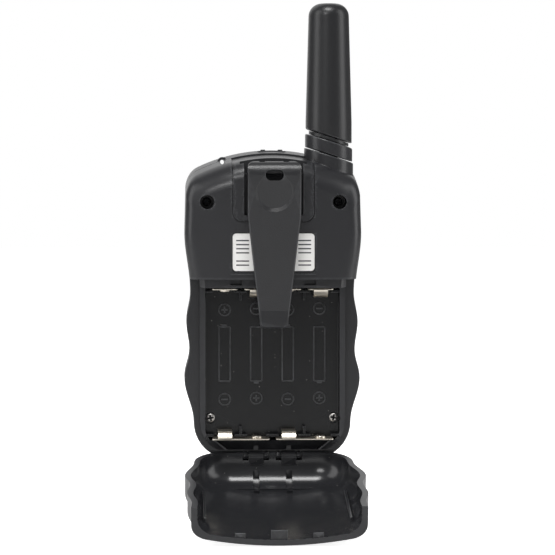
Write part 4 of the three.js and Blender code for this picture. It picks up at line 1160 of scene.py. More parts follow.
@dataclass(frozen=True)
class RearHousing:
    """The rear housing: upper back, flange, cell compartment and clip boss."""

    shell: Shell
    tub: Tub
    clip: Clip
    antenna: Antenna
    label: tuple[float, float, float] = (28.0, 12.8, 66.0)
    label_gap: float = 0.3
    well_r: float = 2.4
    pilot_r: float = 1.3

    def _tub_body(self) -> Solid:
        """Makes the compartment's walls and floor.

        Returns:
            The solid.
        """
        t, half = self.tub, self.tub.half_width + self.tub.rim_wall
        flange = self.shell.flange
        side = [
            (t.floor_out, t.bottom - 2), (flange, flange + 0.9), (t.rim, t.bottom), (t.rim, t.top + 1),
            (t.ledge_top, t.top), (t.ledge_top, t.ledge_end + 1), (t.floor_out, t.ledge_end + 1),
        ]
        walls = prism(Along.X, side, (-half, half))
        for end in (-1, 1):
            fin = [(t.bottom, end * 20.6), (t.bottom, end * 19.9), (3.6, end * 15.6), (3.6, end * 16.3)]
            walls.add(prism(Along.Y, fin, (flange - 1, t.rim + 0.4)))
        for x in (-t.hook_x, t.hook_x):
            walls.cut(block((x - 0.85, x + 0.85), (flange - 1, t.rim + 1), (3.3, 4.9)))
        return walls.keep(self.shell.door_tray(t.floor_out - 1, 2.3))

    def _room(self) -> Solid:
        """Makes the room that the cells lie in, with filleted lower corners.

        Returns:
            The solid.
        """
        t = self.tub
        face = round_rect((t.bottom, t.top), (-t.half_width, t.half_width), 0.8, 4)
        room = prism(Along.Y, face, (t.floor, 40), (0.5, 0), 4)
        return room.keep(self.shell.slab(3.5, (t.floor - 1, 41)))

    def _ribs(self) -> Solid:
        """Makes the low ribs that hold the contacts, and the T-ribs between the columns.

        Returns:
            The solid.
        """
        t = self.tub
        spans = [(line * t.pitch - 2.2, line * t.pitch + 2.2) for line in (-1, 0, 1)]
        spans += [(20.3, 23.7), (-23.7, -20.3)]
        ribs = None
        for low in (t.top - 2.0, t.bottom + 1.1):
            for span in spans:
                rib = block(span, (t.floor - 0.5, 5.0), (low, low + 0.9), 0.2)
                ribs = rib if ribs is None else ribs.add(rib)
        for line in (-1, 1):
            for low, high in ((t.top - 4.6, t.top - 1.5), (t.bottom + 1.4, t.bottom + 4.6)):
                middle = line * t.pitch
                ribs.add(block((middle - 0.45, middle + 0.45), (t.floor - 0.5, 4.2), (low, high), 0.2))
        return ribs.keep(self.shell.slab(2.9, (t.floor - 1, 41)))

    def _hinge_ears(self) -> Solid:
        """Makes the four ears that the door's knuckles turn between.

        Returns:
            The solid.
        """
        side = [(0.8, 0.25), (3.5, 0.15), (4.2, 0.4), (4.65, 0.9), (4.8, 1.5), (4.6, 2.1), (4.1, 2.6),
                (3.5, 2.75), (0.8, 2.75)]
        ears = None
        for middle in (-self.tub.hook_x, self.tub.hook_x):
            for end in (-1, 1):
                x = middle + end * 3.6
                ear = prism(Along.X, side, (x - 0.7, x + 0.7), (0.2, 0.2))
                ears = ear if ears is None else ears.add(ear)
        return ears.cut(rod(Along.X, (3.5, 1.4), 0.85, (-30, 30), sides=24))

    def solid(self) -> Solid:
        """Makes the whole housing.

        Returns:
            The solid.
        """
        s, t = self.shell, self.tub
        seam = s.seam + s.clear / 2
        collar_half = (WIDE, (seam, 40.0), (0.0, 140.0))
        body = s.back_body(seam).keep(block(WIDE, (-1, 40), (t.ledge_end, 140)))
        body.add(s.slab(0.0, (seam, s.flange), 0.35)).add(self.antenna.collar().keep(block(*collar_half)))
        hollow = s.back_body(-2.0, s.wall).keep(block(WIDE, (-3, 40), (t.ledge_end + 2, 140)))
        body.cut(hollow).add(self._tub_body()).cut(self._room()).add(self._ribs())
        for number in (0, 3):
            x = t.column(number)
            slot = block((x - 1.2, x + 1.2), (t.floor + 0.6, t.floor + 2.2), (t.top - 1, t.ledge_end + 2))
            body.cut(slot)
        c = self.clip
        body.cut(s.on_back(c.boss_face(s, c.groove), -1.0, 0.5))
        body.add(c.boss(s)).cut(c.channel(s))
        body.cut(s.cord_channel())
        body.add(self.antenna.collar().keep(block(WIDE, (seam, 40), (self.antenna.foot, 140))))
        body.cut(self.antenna.bore((80, 115)))
        body.cut(block(WIDE, (1.5, 3.0), (-1, 3.35))).add(self._hinge_ears())
        return self._details(body)

    def _details(self, body: Solid) -> Solid:
        """Cuts the label's recess, the screw wells, the latch pockets and the small grooves.

        Args:
            body: the housing so far, which is changed.

        Returns:
            The solid.
        """
        s, t = self.shell, self.tub
        width, height, low = self.label
        half = width / 2 + self.label_gap
        face = round_rect((low - 0.75, low + height + self.label_gap), (-half, half), 1.2, 6)
        body.cut(s.on_back(face, -1.0, 0.5))
        lip = round_rect((low - 1.35, low - 1.0), (-width / 2 - 0.6, width / 2 + 0.6), 0.15, 3)
        body.add(s.on_back(lip, -0.4, 0.5))
        for side in (-1, 1):
            z, x = s.well[0], side * s.well[1]
            tube = rod(Along.Y, (z, x), self.well_r + 1.4, (2.0, s.back + s.bulge))
            tube.keep(s.back_body(0.0, 0.5))
            top = s.back + float(s.rise(x))
            body.add(tube).cut(rod(Along.Y, (z, x), self.well_r, (4.0, top + 0.25), (0, -0.5)))
            body.cut(rod(Along.Y, (z, x), self.well_r + 0.2, (top, s.back + s.bulge + 1)))
            body.cut(rod(Along.Y, (z, x), self.pilot_r, (0, s.back), sides=24))
            z, x = t.screw[0], side * t.screw[1]
            body.cut(rod(Along.Y, (z, x), 2.1, (t.floor - 0.9, t.rim + 1), sides=32))
            body.cut(rod(Along.Y, (z, x), self.pilot_r, (t.floor_out - 1, t.floor), sides=24))
        for x, wide in t.tabs:
            half = wide / 2 + s.clear
            pocket = (t.ledge_top - 2.3, t.ledge_top + 1)
            body.cut(block((x - half, x + half), pocket, (t.top + 0.9, t.ledge_end - 0.2)))
        return body

    def build(self) -> None:
        """Builds and dresses the housing, with painted shade on the compartment's inside, then the marks on
        the compartment's floor.
        """
        piece = self.solid().finish("rear_shell")
        install(piece, SHELL, "case", "rear_housing")
        # The compartment's floor and walls get the pocket finish: painted shade of the deep recess.
        piece.data.materials.append(POCKET_SHADE.material())
        t = self.tub
        for face in piece.data.polygons:
            x, y, z = (c / MM for c in face.center)
            between = abs(x) < t.half_width + 0.05 and t.bottom - 0.1 < z < t.top + 0.1
            face.material_index = 1 if between and -0.6 < y < t.ledge_top - 0.3 else 0
        self._marks()

    def _marks(self) -> None:
        """Repeats the raised cell outline, with its nub towards plus, and the polarity signs."""
        t = self.tub
        depth = (-0.2, 0.26)
        outline = prism(Along.Y, round_rect((-9.7, 9.7), (-2.2, 2.2), 0.6, 3), depth, (0, 0.12), 2)
        outline.cut(prism(Along.Y, round_rect((-9.2, 9.2), (-1.7, 1.7), 0.3, 3), (-1, 1)))
        outline.add(block((-0.9, 0.9), depth, (9.5, 10.3)))
        for middle in (-15.8, 15.4):
            disc = rod(Along.Y, (middle, 0), 2.25, depth, (0, 0.12))
            outline.add(disc.cut(rod(Along.Y, (middle, 0), 1.8, (-1, 1))))
            outline.add(block((-1.1, 1.1), depth, (middle - 0.24, middle + 0.24)))
        outline.add(block((-0.24, 0.24), depth, (14.3, 16.5)))
        places = []
        for number, sign in enumerate(t.polarity):
            places.append(((t.column(number), t.floor, 36.5), 0.0 if sign > 0 else 180.0))
        # The marks get the darker copy of the shell plastic: painted shade of the compartment.
        install(repeat("cell_marks", outline, places, MARK_PAINTED_SHADE), MARK_PAINTED_SHADE, "case")


@dataclass(frozen=True)
class Door:
    """The hinged battery door, built closed and then turned down to its open place."""

    shell: Shell
    tub: Tub
    top: float = 62.7
    rim: float = 2.3
    hinge: Point = (3.5, 1.4)
    knuckle_half: float = 2.6
    tab_short: tuple[float, ...] = (2.6, 1.7, 2.6)
    open_deg: float = 100.0

    def _hinge(self, door: Solid) -> None:
        """Adds the two knuckles with their pegs and webs.

        Args:
            door: the closed door, which is changed.
        """
        y, z = self.hinge
        notch_half = self.knuckle_half + 2.0
        for x in (-self.tub.hook_x, self.tub.hook_x):
            door.cut(block((x - notch_half, x + notch_half), (self.rim - 1, y + 1.5), (-1, 3), 0.3))
            near, far = x - self.knuckle_half, x + self.knuckle_half
            door.add(rod(Along.X, (y, z), 1.35, (near, far), (0.2, 0.2)))
            peg = (x - notch_half + 0.3, x + notch_half - 0.3)
            door.add(rod(Along.X, (y, z), 0.65, peg, (0.15, 0.15), 24))
            door.add(block((near, far), (y, y + 2.95), (0.1, z + 1.6), 0.3))

    def _latch(self, door: Solid) -> None:
        """Adds the latch nose and its two tabs at the free end.

        Args:
            door: the closed door, which is changed.
        """
        inside = self.shell.back - self.shell.wall
        low = self.tub.top + 1.3
        for (x, wide), short in zip(self.tub.tabs, self.tab_short):
            top = inside + float(self.shell.rise(x)) + 0.4
            start = self.tub.ledge_top - 2.0 + short
            door.add(block((x - wide / 2, x + wide / 2), (start, top), (low, low + 1), 0.2))

    def _inner_marks(self, door: Solid) -> None:
        """Adds the stiffening ribs, the faint pad and the two mould slots behind the knuckles.

        Args:
            door: the closed door, which is changed.
        """
        inside = self.shell.back - self.shell.wall
        for side in (-1, 1):
            x = side * 24.0
            door.add(block((x - 0.5, x + 0.5), (inside - 1.2, inside + 1.0), (21, 51), 0.25))
        pad = round_rect((12.0, 27.0), (-8.6, 8.6), 1.0, 4)
        door.cut(prism(Along.Y, pad, (0, 20)).keep(self.shell.door_tray(0.0, self.shell.wall - 0.14)))
        for x in (-self.tub.hook_x, self.tub.hook_x):
            slot = round_rect((3.2, 13.5), (x - 1.1, x + 1.1), 0.3, 3)
            door.cut(prism(Along.Y, slot, (6.5, 20)).keep(self.shell.door_tray(0.0, self.shell.wall - 1.2)))

    def build(self) -> None:
        """Builds and dresses the door."""
        s = self.shell
        door = s.door_tray(self.rim, 0.0).keep(block(WIDE, (-1, 40), (-1, self.top)))
        door.cut(s.door_tray(self.rim - 1, s.wall))
        bevel = [(self.rim - 1, -1), (self.rim + 0.9, -1), (self.rim + 0.9, 0), (self.rim, 0.9),
                 (self.rim - 1, 0.9)]
        door.cut(prism(Along.X, bevel, WIDE))
        self._hinge(door)
        self._latch(door)
        self._inner_marks(door)
        y, z = self.hinge
        turn = (Matrix.Translation((0, y, z)) @ Matrix.Rotation(math.radians(-self.open_deg), 4, "X")
                @ Matrix.Translation((0, -y, -z)))
        piece = door.moved(turn).finish("door")
        install(piece, SHELL, "door", "battery_door")
        piece.data.materials.append(TRAY.material())
        back = turn.inverted()
        middle = Vector((0, 4.0, 33.0))
        for face in piece.data.polygons:
            place = back @ (Vector(face.center) / MM)
            normal = (back.to_3x3() @ Vector(face.normal)).normalized()
            inward = normal.dot((middle - place).normalized()) > 0.15
            hook = place.z < 3.0 and abs(abs(place.x) - self.tub.hook_x) < self.knuckle_half + 0.05
            deep = place.y > self.rim + 0.2 and place.z < self.top - 0.1 and not hook
            face.material_index = 1 if inward and deep else 0


@dataclass(frozen=True)
class BeltClip:
    """The one-piece belt clip: slide plate, bend in three straps, and tapering tongue."""

    clip: Clip

    def _tongue(self) -> Solid:
        """Makes the tongue with its eye and thumb dish.

        Returns:
            The solid.
        """
        c = self.clip
        low, shoulder = c.tongue_top - c.length, c.tongue_top - c.shoulder
        face = [
            (shoulder, -c.tongue_half), *arc((c.bend_top - 2.4, -c.tongue_half + 2.4), 2.4, -90, 0, 8),
            *arc((c.bend_top - 2.4, c.tongue_half - 2.4), 2.4, 0, 90, 8), (shoulder, c.tongue_half),
            *arc((low + 1.8, c.tip_half - 1.8), 1.8, 75, 180, 8),
            *arc((low + 1.8, 1.8 - c.tip_half), 1.8, 180, 285, 8),
        ]
        outer = [(c.tip_out + 1, low - 1), (c.tip_out, low + 6), (c.out, c.tongue_top - 4)]
        bend = arc((c.out - 4.2, c.bend_top - 4.2), 4.2, 12, 90, 10)
        plate_out = c.floor + c.gap + c.plate_thick
        plate_in = plate_out - c.plate_thick
        side = [
            *outer, *bend, (plate_out + 1.6, c.bend_top), (plate_out - 0.6, c.bend_top - 0.9),
            (plate_in, c.bend_top - 2.6), (plate_in, 99.0), (plate_out, 97.4), (plate_out + 0.6, 98.8),
            (plate_out + 1.6, c.plate_top), (c.out - c.thick - 2.0, c.plate_top),
            (c.out - c.thick - 0.5, 98.8),
            (c.out - c.thick, 97.3), (c.tip_out - c.thick, low + 6), (c.tip_out - c.thick + 1, low - 1),
        ]
        sheet = prism(Along.X, side, (-c.tongue_half - 1, c.tongue_half + 1))
        return self._eased(sheet, face)

    def _eased(self, sheet: Solid, face: list[Point]) -> Solid:
        """Trims the sheet to the tongue's outline, leaving a bevel along its outer edge.

        Args:
            sheet: the bent sheet, wider than the tongue.
            face: the tongue's outline.

        Returns:
            The trimmed sheet.
        """
        c = self.clip
        rings = []
        lean = (c.out - c.tip_out) / (c.length - 10)
        flat = np.asarray(face)
        if np.sum(flat[:, 0] * np.roll(flat[:, 1], -1) - np.roll(flat[:, 0], -1) * flat[:, 1]) < 0:
            flat = flat[::-1]
        for y, inset in ((0.0, 0.0), (c.out - 0.55, 0.0), (c.out - 0.2, 0.12), (c.out + 0.02, 0.5)):
            ring = lift(offset(flat, -inset), Along.Y, y)
            if y > 1:
                ring[:, 1] -= np.clip((c.tongue_top - 4 - ring[:, 2]), 0, None) * lean
            rings.append(ring)
        rings.append(rings[-1] + np.array([0, 3.0, 0]))
        return sheet.keep(sweep(rings))

    def _dish(self) -> Solid:
        """Makes the thumb dish's cutter: a sloping round wall whose floor deepens downwards.

        Returns:
            The solid.
        """
        c = self.clip
        lean = Matrix.Rotation(-math.atan((c.out - c.tip_out) / (c.length - 10)), 4, "X")
        middle = Matrix.Translation((0, c.out - 0.38, c.tongue_top - c.dish_drop))
        steps = ((-1.5, c.dish_r - 2.6), (-1.0, c.dish_r - 1.75), (-0.05, c.dish_r - 0.1),
                 (0.02, c.dish_r + 0.02), (1, c.dish_r + 1))
        rings = [lift(np.array(arc((0, 0), radius, 0, 355, 71)), Along.Y, y) for y, radius in steps]
        tilt = Matrix.Rotation(-math.atan(c.dish_fall), 4, "X")
        above = block((-20, 20), (-c.dish_depth, 20), (-20, 20)).moved(tilt)
        return sweep(rings).keep(above).moved(middle @ lean)

    def build(self) -> None:
        """Builds and dresses the clip as one piece."""
        c = self.clip
        plate_in = c.floor + c.gap
        body = self._tongue()
        thick = (plate_in, plate_in + c.plate_thick)
        body.add(block((-c.plate_half, c.plate_half), thick, (c.plate_low, c.plate_top), 0.2))
        eye = c.tongue_top - c.eye_drop
        window = round_rect((eye - c.eye[0], eye + c.eye[0]), (-c.eye[1], c.eye[1]), 1.75)
        body.cut(prism(Along.Y, window, (c.out - 4, c.out + 0.02), (0, -0.4), 4))
        body.cut(self._dish())
        for side in (-1, 1):
            xs = sorted(side * x for x in c.strap_gap)
            slot = round_rect((plate_in + 2.0, c.out - 2.8), (97, 106), 0.5, 3)
            body.cut(prism(Along.X, slot, (xs[0], xs[1])))
        piece = body.finish("belt_clip")
        dress(piece, CLIP)
        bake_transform(piece)
        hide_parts("clip_plate", "clip_tongue")


@dataclass(frozen=True)
class Contacts:
    """The nickel contacts at both ends of the compartment."""

    tub: Tub

    def _leaf(self, end: int, x: float) -> Solid:
        """Makes one bent spring leaf for a negative end.

        Args:
            end: 1 at the upper wall of the compartment, -1 at the lower one.
            x: the middle of the leaf's column.

        Returns:
            The solid.
        """
        t = self.tub
        wall = t.top if end > 0 else t.bottom
        reach = [(0.9, 0.4), (9.0, 0.4), (9.45, 0.8), (9.35, 1.3), (8.9, 2.0), (8.3, 2.7), (7.6, 3.25),
                 (6.4, 3.55), (2.0, 3.6), (1.4, 3.4), (1.4, 3.0), (2.0, 3.2), (6.2, 3.15), (7.3, 2.85),
                 (8.0, 2.3), (8.6, 1.6), (8.95, 1.1), (8.8, 0.8), (0.9, 0.8)]
        side = [(t.floor + y, wall - end * d) for y, d in reach]
        return prism(Along.X, side, (x - 2.45, x + 2.45), (0.08, 0.08), 2)

    def _plate(self, end: int, columns: list[int]) -> Solid:
        """Makes a plate behind one or two cells, with a button or a leaf for each.

        Args:
            end: 1 at the upper wall of the compartment, -1 at the lower one.
            columns: the numbers of the columns that it serves.

        Returns:
            The solid.
        """
        t = self.tub
        wall = t.top if end > 0 else t.bottom
        xs = [t.column(number) for number in columns]
        spans = sorted((wall - end * 0.4, wall - end * 0.8))
        face = round_rect((min(xs) - 4.4, max(xs) + 4.4), (t.floor + 0.4, 9.2), 0.9, 4)
        plate = prism(Along.Z, face, (spans[0], spans[1]), (0.08, 0.08), 2)
        for number, x in zip(columns, xs):
            if t.polarity[number] != end:
                plate.add(self._leaf(end, x))
                continue
            ends = (0.0, 0.5) if end < 0 else (0.5, 0.0)
            spans = sorted((wall - end * 0.5, wall - end * 1.6))
            plate.add(rod(Along.Z, (x, 5.55), 1.9, (spans[0], spans[1]), ends))
        return plate

    def build(self) -> None:
        """Builds and dresses the five contacts."""
        t = self.tub
        for name, number in (("contact_positive", 0), ("contact_negative", 3)):
            x = t.column(number)
            tab = block((x - 0.9, x + 0.9), (t.floor + 1.2, t.floor + 1.6), (t.top - 0.6, t.ledge_end + 2))
            install(self._plate(1, [number]).add(tab).finish(f"{name}_strip"), NICKEL, "case", name)
        for name, end, columns in (("contact_bridge_top", 1, [1, 2]), ("contact_bridge_low_left", -1, [0, 1]),
                                   ("contact_bridge_low_right", -1, [2, 3])):
            install(self._plate(end, columns).finish(f"{name}_strip"), NICKEL, "case", name)


@dataclass(frozen=True)
class FrontHousing:
    """The front housing with its grille, keys, display window, talk button and jack cover."""

    shell: Shell
    tub: Tub
    antenna: Antenna
    keys: tuple[tuple[str, float, float, float, float], ...] = (
        ("menu", 0.0, 61.0, 9.0, 5.4), ("up", 0.0, 53.0, 9.0, 5.4), ("down", 0.0, 45.4, 9.0, 5.4),
        ("call", -13.5, 53.5, 8.0, 8.0), ("monitor", 13.5, 53.5, 8.0, 8.0))
    window: tuple[float, float, float] = (27.0, 19.0, 71.0)
    talk: tuple[float, float, float, float] = (66.0, 18.0, -4.6, 6.2)
    cover: tuple[float, float, float] = (4.6, -6.0, 6.4)

    def _key_face(self, key: tuple, grow: float, radius: float) -> list[Point]:
        """Gives a key's outline.

        Args:
            key: the key's name, place and size.
            grow: how far the outline is moved out all round.
            radius: the radius of its corners.

        Returns:
            The outline.
        """
        _, x, z, wide, high = key
        tall = (z - high / 2 - grow, z + high / 2 + grow)
        return round_rect(tall, (x - wide / 2 - grow, x + wide / 2 + grow), radius)

    def solid(self) -> Solid:
        """Makes the housing.

        Returns:
            The solid.
        """
        s, front = self.shell, self.shell.front
        seam = s.seam - s.clear / 2
        body = s.front_body(seam).add(self.antenna.collar().keep(block(WIDE, (-40, seam), (0, 140))))
        body.cut(s.front_body(s.seam + 1, s.wall))
        body.add(self.antenna.collar().keep(block(WIDE, (-40, seam), (self.antenna.foot, 140))))
        body.cut(self.antenna.bore((80, 115)))
        wide, high, low = self.window
        pane = round_rect((low, low + high), (-wide / 2, wide / 2), 2.5)
        sight = round_rect((low + 1.6, low + high - 1.6), (1.6 - wide / 2, wide / 2 - 1.6), 1.0)
        body.cut(prism(Along.Y, pane, (front - 0.02, front + 1.2), (-0.3, 0), 4))
        body.cut(prism(Along.Y, sight, (front - 1, front + 3)))
        for key in self.keys:
            body.cut(prism(Along.Y, self._key_face(key, 0.0, 2.0), (front - 0.02, front + 3), (-0.4, 0), 4))
        for row in range(-3, 4):
            half = math.sqrt(144 - (row * 3) ** 2) - 1
            slot = round_rect((25 + row * 3 - 0.6, 25 + row * 3 + 0.6), (-half, half), 0.58, 6)
            body.cut(prism(Along.Y, slot, (front - 0.02, front + 3), (-0.3, 0), 3))
        body.cut(rod(Along.Y, (37.0, 15.5), 0.7, (front - 0.02, front + 3), (-0.2, 0), 24))
        low, length, middle, wide = self.talk
        slot = round_rect((middle - wide / 2, middle + wide / 2), (low, low + length), 2.6)
        body.cut(prism(Along.X, slot, (-s.half_width - 1, -s.half_width + 4)))
        half, middle, deep = self.cover
        body.cut(rod(Along.Z, (0, middle), 2.9, (s.height - 8, s.height + 1)))
        body.cut(block((-half - 0.3, half + 0.3), (middle - deep / 2 - 0.3, middle + deep / 2 + 0.3),
                       (s.height - 1.9, s.height + 1), 0.4))
        return self._posts(body)

    def _posts(self, body: Solid) -> Solid:
        """Adds the screw posts inside and the arch over the wrist cord's channel.

        Args:
            body: the housing.

        Returns:
            The same housing.
        """
        s = self.shell
        for spot, end in ((s.well, 0.2), (self.tub.screw, -1.9)):
            for side in (1, -1):
                centre = (spot[0], side * spot[1])
                post = rod(Along.Y, centre, 2.9, (s.front + 1, end))
                body.add(post.cut(rod(Along.Y, centre, 1.3, (s.front + 2, 2), sides=24)))
        body.keep(s.front_body(s.seam - s.clear / 2, 0.0).add(self.antenna.collar()))
        body.cut(s.cord_channel())
        arch = rod(Along.Y, s.cord_eye, 1.75, (-3.7, -1.3), (0.2, 0.2))
        return body.add(arch.cut(s.cord_channel()))

    def _keys(self) -> None:
        """Builds the five keys, each with a shallow mark on its face."""
        front = self.shell.front
        for key in self.keys:
            name, x, z, _, _ = key
            cap = prism(Along.Y, self._key_face(key, -0.3, 1.7), (front - 0.4, front + 3), (0.35, 0), 5)
            cap.add(prism(Along.Y, self._key_face(key, 0.6, 2.3), (front + 2.3, front + 3.1)))
            mark = {
                "menu": [(z - 0.9, x - 1.6), (z - 0.9, x + 1.6), (z + 0.9, x + 1.6), (z + 0.9, x - 1.6)],
                "up": [(z - 0.9, x - 1.3), (z - 0.9, x + 1.3), (z + 1.0, x)],
                "down": [(z + 0.9, x + 1.3), (z + 0.9, x - 1.3), (z - 1.0, x)],
            }.get(name, arc((z, x), 1.5, 0, 350, 35))
            cap.cut(prism(Along.Y, mark, (front - 1, front - 0.28)))
            install(cap.finish(f"{name}_cap"), KEY, name, f"key_{name}")

    def _talk(self) -> None:
        """Builds the talk button on the antenna's side."""
        s = self.shell
        low, length, middle, wide = self.talk
        pieces = []
        for grow, out, deep in ((-0.3, -0.25, 3.2), (0.4, 2.3, 3.2)):
            across = (middle - wide / 2 - grow, middle + wide / 2 + grow)
            face = round_rect(across, (low - grow, low + length + grow),
                              2.6 + grow / 2)
            bar = prism(Along.X, face, (-s.half_width - 1, -s.half_width / 2))
            shape = s.slab(out, (s.front, s.seam)).cut(s.slab(deep, (s.front - 1, s.seam + 1)))
            pieces.append(bar.keep(shape))
        button = pieces[0].add(pieces[1])
        for step in range(5):
            z = low + length / 2 + (step - 2) * 2.6
            groove = [(-s.half_width - 1, z - 0.3), (-s.half_width - 0.02, z), (-s.half_width - 1, z + 0.3)]
            flat = prism(Along.Y, [(b, a) for a, b in groove], (middle - 1.9, middle + 1.9))
            button.cut(flat)
        install(button.finish("talk_cap"), KEY, "talk", "talk_button")

    def build(self) -> None:
        """Builds and dresses the housing and what is let into it."""
        s, front = self.shell, self.shell.front
        install(self.solid().finish("front_shell"), SHELL, "case", "front_housing")
        self._keys()
        self._talk()
        wide, high, low = self.window
        pane = round_rect((low + 0.3, low + high - 0.3), (0.3 - wide / 2, wide / 2 - 0.3), 2.2)
        glass = prism(Along.Y, pane, (front, front + 0.9), (0.2, 0), 3)
        install(glass.finish("pane"), PANE, "case", "lcd_window")
        half, middle, deep = self.cover
        top = s.height - 1.9 + 0.3
        pad = block((-half, half), (middle - deep / 2, middle + deep / 2), (top, top + 1.4), 0.35)
        for side in (-1, 1):
            across = (side * 3 - 0.8, side * 3 + 0.8)
            pad.add(block(across, (middle - 2.2, middle + 2.2), (top + 1, top + 1.85), 0.3))
        install(pad.finish("cover_pad"), RUBBER, "cover", "jack_cover")


@dataclass(frozen=True)
class Fittings:
    """The rating label, the screws and the finishes of everything inside."""

    rear: RearHousing

    def _label(self) -> None:
        """Builds the label's film and the generic bars printed on it."""
        width, height, low = self.rear.label
        face = round_rect((low, low + height), (-width / 2, width / 2), 1.2, 6)
        shell = self.rear.shell
        install(shell.on_back(face, 0.25, 0.45).finish("film"), FILM, "case", "rating_label")
        top = shell.back - 0.25 + float(shell.rise(10.6))
        for side, name in ((-1, "right"), (1, "left")):
            bar = block((-2.2, 2.2), (-0.02, 0.02), (-0.22, 0.22))
            tilt = math.atan(2 * shell.bulge * side * 10.6 / (shell.half_width - shell.side_round) ** 2)
            bar.moved(Matrix.Rotation(-tilt, 4, "Z"))
            places = [((side * 10.6, top, low + z), 0.0) for z in (10.4, 9.0, 7.6, 6.2, 3.4, 2.0)]
            install(repeat(f"label_bars_{name}", bar, places, INK), INK, "case")

    def _screws(self) -> None:
        """Repeats one cross-head screw at the two wells and the two lower corners, with painted shade in the
        cross slots.
        """
        def blank(length: float) -> Solid:
            """Makes a screw whose head's underside is at y = 0.

            Args:
                length: how far the shank reaches below the head.

            Returns:
                The solid.
            """
            profile = prism(Along.Y, arc((0, 0), 1.5, 0, 350, 35), (0, 1.2), (0, 0.5), 5)
            profile.add(rod(Along.Y, (0, 0), 1.0, (-length, 0.1), (0.3, 0), 24))
            for a, b in ((1.1, 0.34), (0.34, 1.1)):
                profile.cut(block((-a, a), (0.05, 2.0), (-b, b)))
            return profile
        kinds = (("upper", self.rear.shell.well, 4.05, 11.0, OXIDE_AND_SLOT_SHADE),
                 ("lower", self.rear.tub.screw, -0.35, 8.0, ZINC))
        for name, spot, y, length, look in kinds:
            places = [((side * spot[1], y, spot[0]), 12.0 * side) for side in (-1, 1)]
            piece = repeat(f"{name}_screws", blank(length), places, look)
            install(piece, look, "case", f"screw_{name}_left", f"screw_{name}_right")
            # Faces inside each head's cross slot get the blacked finish: on the zinc screws this is painted
            # shade in the recess.
            piece.data.materials.append(OXIDE_AND_SLOT_SHADE.material())
            for face in piece.data.polygons:
                x, height, z = (c / MM for c in face.center)
                from_axis = math.hypot(abs(x) - spot[1], z - spot[0])
                face.material_index = 1 if y < height < y + 1.1 and from_axis < 1.18 else 0

    def build(self) -> None:
        """Builds the label and the screws and dresses the carried-over nodes."""
        self._label()
        self._screws()
        looks = {
            ZINC: ["screw_board_left", "screw_board_right", "microphone", "crystal", "speaker_frame"],
            NICKEL: ["rf_shield"], GLASS: ["lcd_panel"], WHITE: ["lcd_holder"], RUBBER: ["keypad_mat"],
            EPOXY: ["talk_switch", "headset_jack", "radio_chip", "audio_chip"],
            CONE: ["speaker_cloth", "speaker_cone"],
            MAGNET: ["speaker_magnet"], BOARD: ["main_board"], RED: ["lead_positive", "speaker_lead_left"],
            BLACK: ["lead_negative", "speaker_lead_right"],
        }
        for finish, nodes in looks.items():
            for node in nodes:
                repaint(node, finish)


# ---------------------------------------------------------------- studio


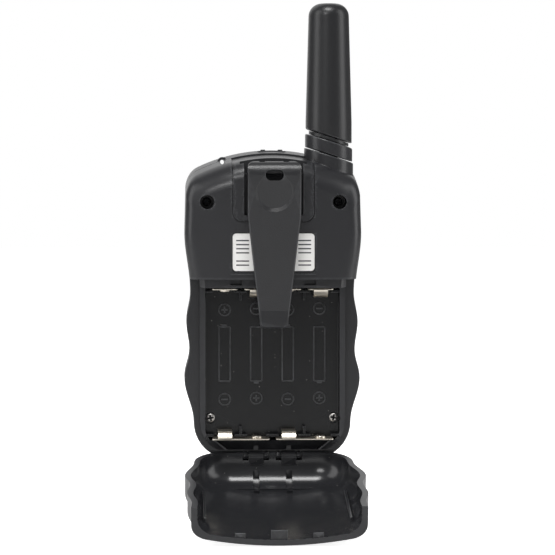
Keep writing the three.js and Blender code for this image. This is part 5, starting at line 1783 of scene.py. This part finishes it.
@dataclass(frozen=True)
class Studio:
    """Camera, soft lights and the pale floor."""

    target: Point3 = (-0.00184, 0.002, 0.0632)
    distance: float = 0.85
    azimuth_deg: float = 2.4
    elevation_deg: float = 2.5
    focal: float = 159.0
    floor_z: float = -0.0216

    def _camera(self) -> None:
        """Places the camera behind the radio, as the object is usually shown."""
        lens = bpy.data.cameras.new("camera")
        lens.lens = self.focal
        lens.sensor_width = 36.0
        lens.clip_start, lens.clip_end = 0.05, 20.0
        camera = bpy.data.objects.new("camera", lens)
        bpy.context.scene.collection.objects.link(camera)
        turn, rise = math.radians(self.azimuth_deg), math.radians(self.elevation_deg)
        away = Vector((math.sin(turn) * math.cos(rise), math.cos(turn) * math.cos(rise), math.sin(rise)))
        camera.location = Vector(self.target) + away * self.distance
        camera.rotation_mode = "QUATERNION"
        camera.rotation_quaternion = (-away).to_track_quat("-Z", "Y")
        bpy.context.scene.camera = camera

    def _light(self, name: str, place: Point3, size: Span, power: float) -> None:
        """Adds one soft rectangular light that faces the radio.

        Args:
            name: the light's name.
            place: where it stands.
            size: its width and height.
            power: its power in watts.
        """
        data = bpy.data.lights.new(name, "AREA")
        data.shape = "RECTANGLE"
        data.size, data.size_y = size
        data.energy = power
        lamp = bpy.data.objects.new(name, data)
        bpy.context.scene.collection.objects.link(lamp)
        lamp.location = place
        lamp.rotation_mode = "QUATERNION"
        lamp.rotation_quaternion = (Vector(self.target) - Vector(place)).to_track_quat("-Z", "Y")

    def _floor(self) -> None:
        """Adds the pale floor and the even pale surroundings."""
        mesh = bpy.data.meshes.new("floor")
        half = 3.0
        corners = [(-half, -half), (half, -half), (half, half), (-half, half)]
        mesh.from_pydata([(x, y, self.floor_z) for x, y in corners], [], [(0, 1, 2, 3)])
        floor = bpy.data.objects.new("floor", mesh)
        bpy.context.scene.collection.objects.link(floor)
        paint = bpy.data.materials.new("floor_paper")
        paint.use_nodes = True
        shader = paint.node_tree.nodes["Principled BSDF"]
        shader.inputs["Base Color"].default_value = (0.86, 0.86, 0.86, 1)
        shader.inputs["Roughness"].default_value = 0.9
        shader.inputs["Emission Color"].default_value = (1, 1, 1, 1)
        seen = add_node(paint.node_tree, "ShaderNodeLightPath").outputs["Is Camera Ray"]
        level = add_node(paint.node_tree, "ShaderNodeMapRange", {0: seen, 3: 0.05, 4: 0.85})
        paint.node_tree.links.new(level.outputs[0], shader.inputs["Emission Strength"])
        mesh.materials.append(paint)

    def build(self) -> None:
        """Sets the studio up."""
        self._camera()
        self._floor()
        self._light("left", (0.75, 0.25, 0.40), (0.4, 0.8), 2.2)
        self._light("right", (-0.75, 0.20, 0.35), (0.4, 0.8), 2.4)
        self._light("top", (0.05, 0.42, 1.0), (0.45, 0.3), 6.5)
        self._light("behind", (0.40, 1.0, 0.62), (0.35, 0.2), 2.4)
        self._light("face", (0.2, -0.9, 0.6), (1.3, 1.3), 4.0)
        world = bpy.data.worlds.new("pale")
        world.use_nodes = True
        tree = world.node_tree
        sky = tree.nodes["Background"]
        sky.inputs["Color"].default_value = (1, 1, 1, 1)
        seen = add_node(tree, "ShaderNodeLightPath").outputs["Is Camera Ray"]
        level = add_node(tree, "ShaderNodeMapRange", {0: seen, 3: 0.20, 4: 1.0})
        tree.links.new(level.outputs[0], sky.inputs["Strength"])
        bpy.context.scene.world = world
        bpy.context.scene.view_settings.view_transform = "Standard"


def main() -> None:
    """Builds the radio piece by piece, then the studio round it."""
    logging.basicConfig(level=logging.INFO, format="%(message)s")
    shell, tub, clip, antenna = Shell(), Tub(), Clip(), Antenna()
    rear = RearHousing(shell, tub, clip, antenna)
    for part in (rear, FrontHousing(shell, tub, antenna), Door(shell, tub), BeltClip(clip), antenna,
                 Contacts(tub),
                 Fittings(rear), Studio()):
        part.build()
        log.info("%s built", type(part).__name__)


if __name__ == "__main__":
    main()
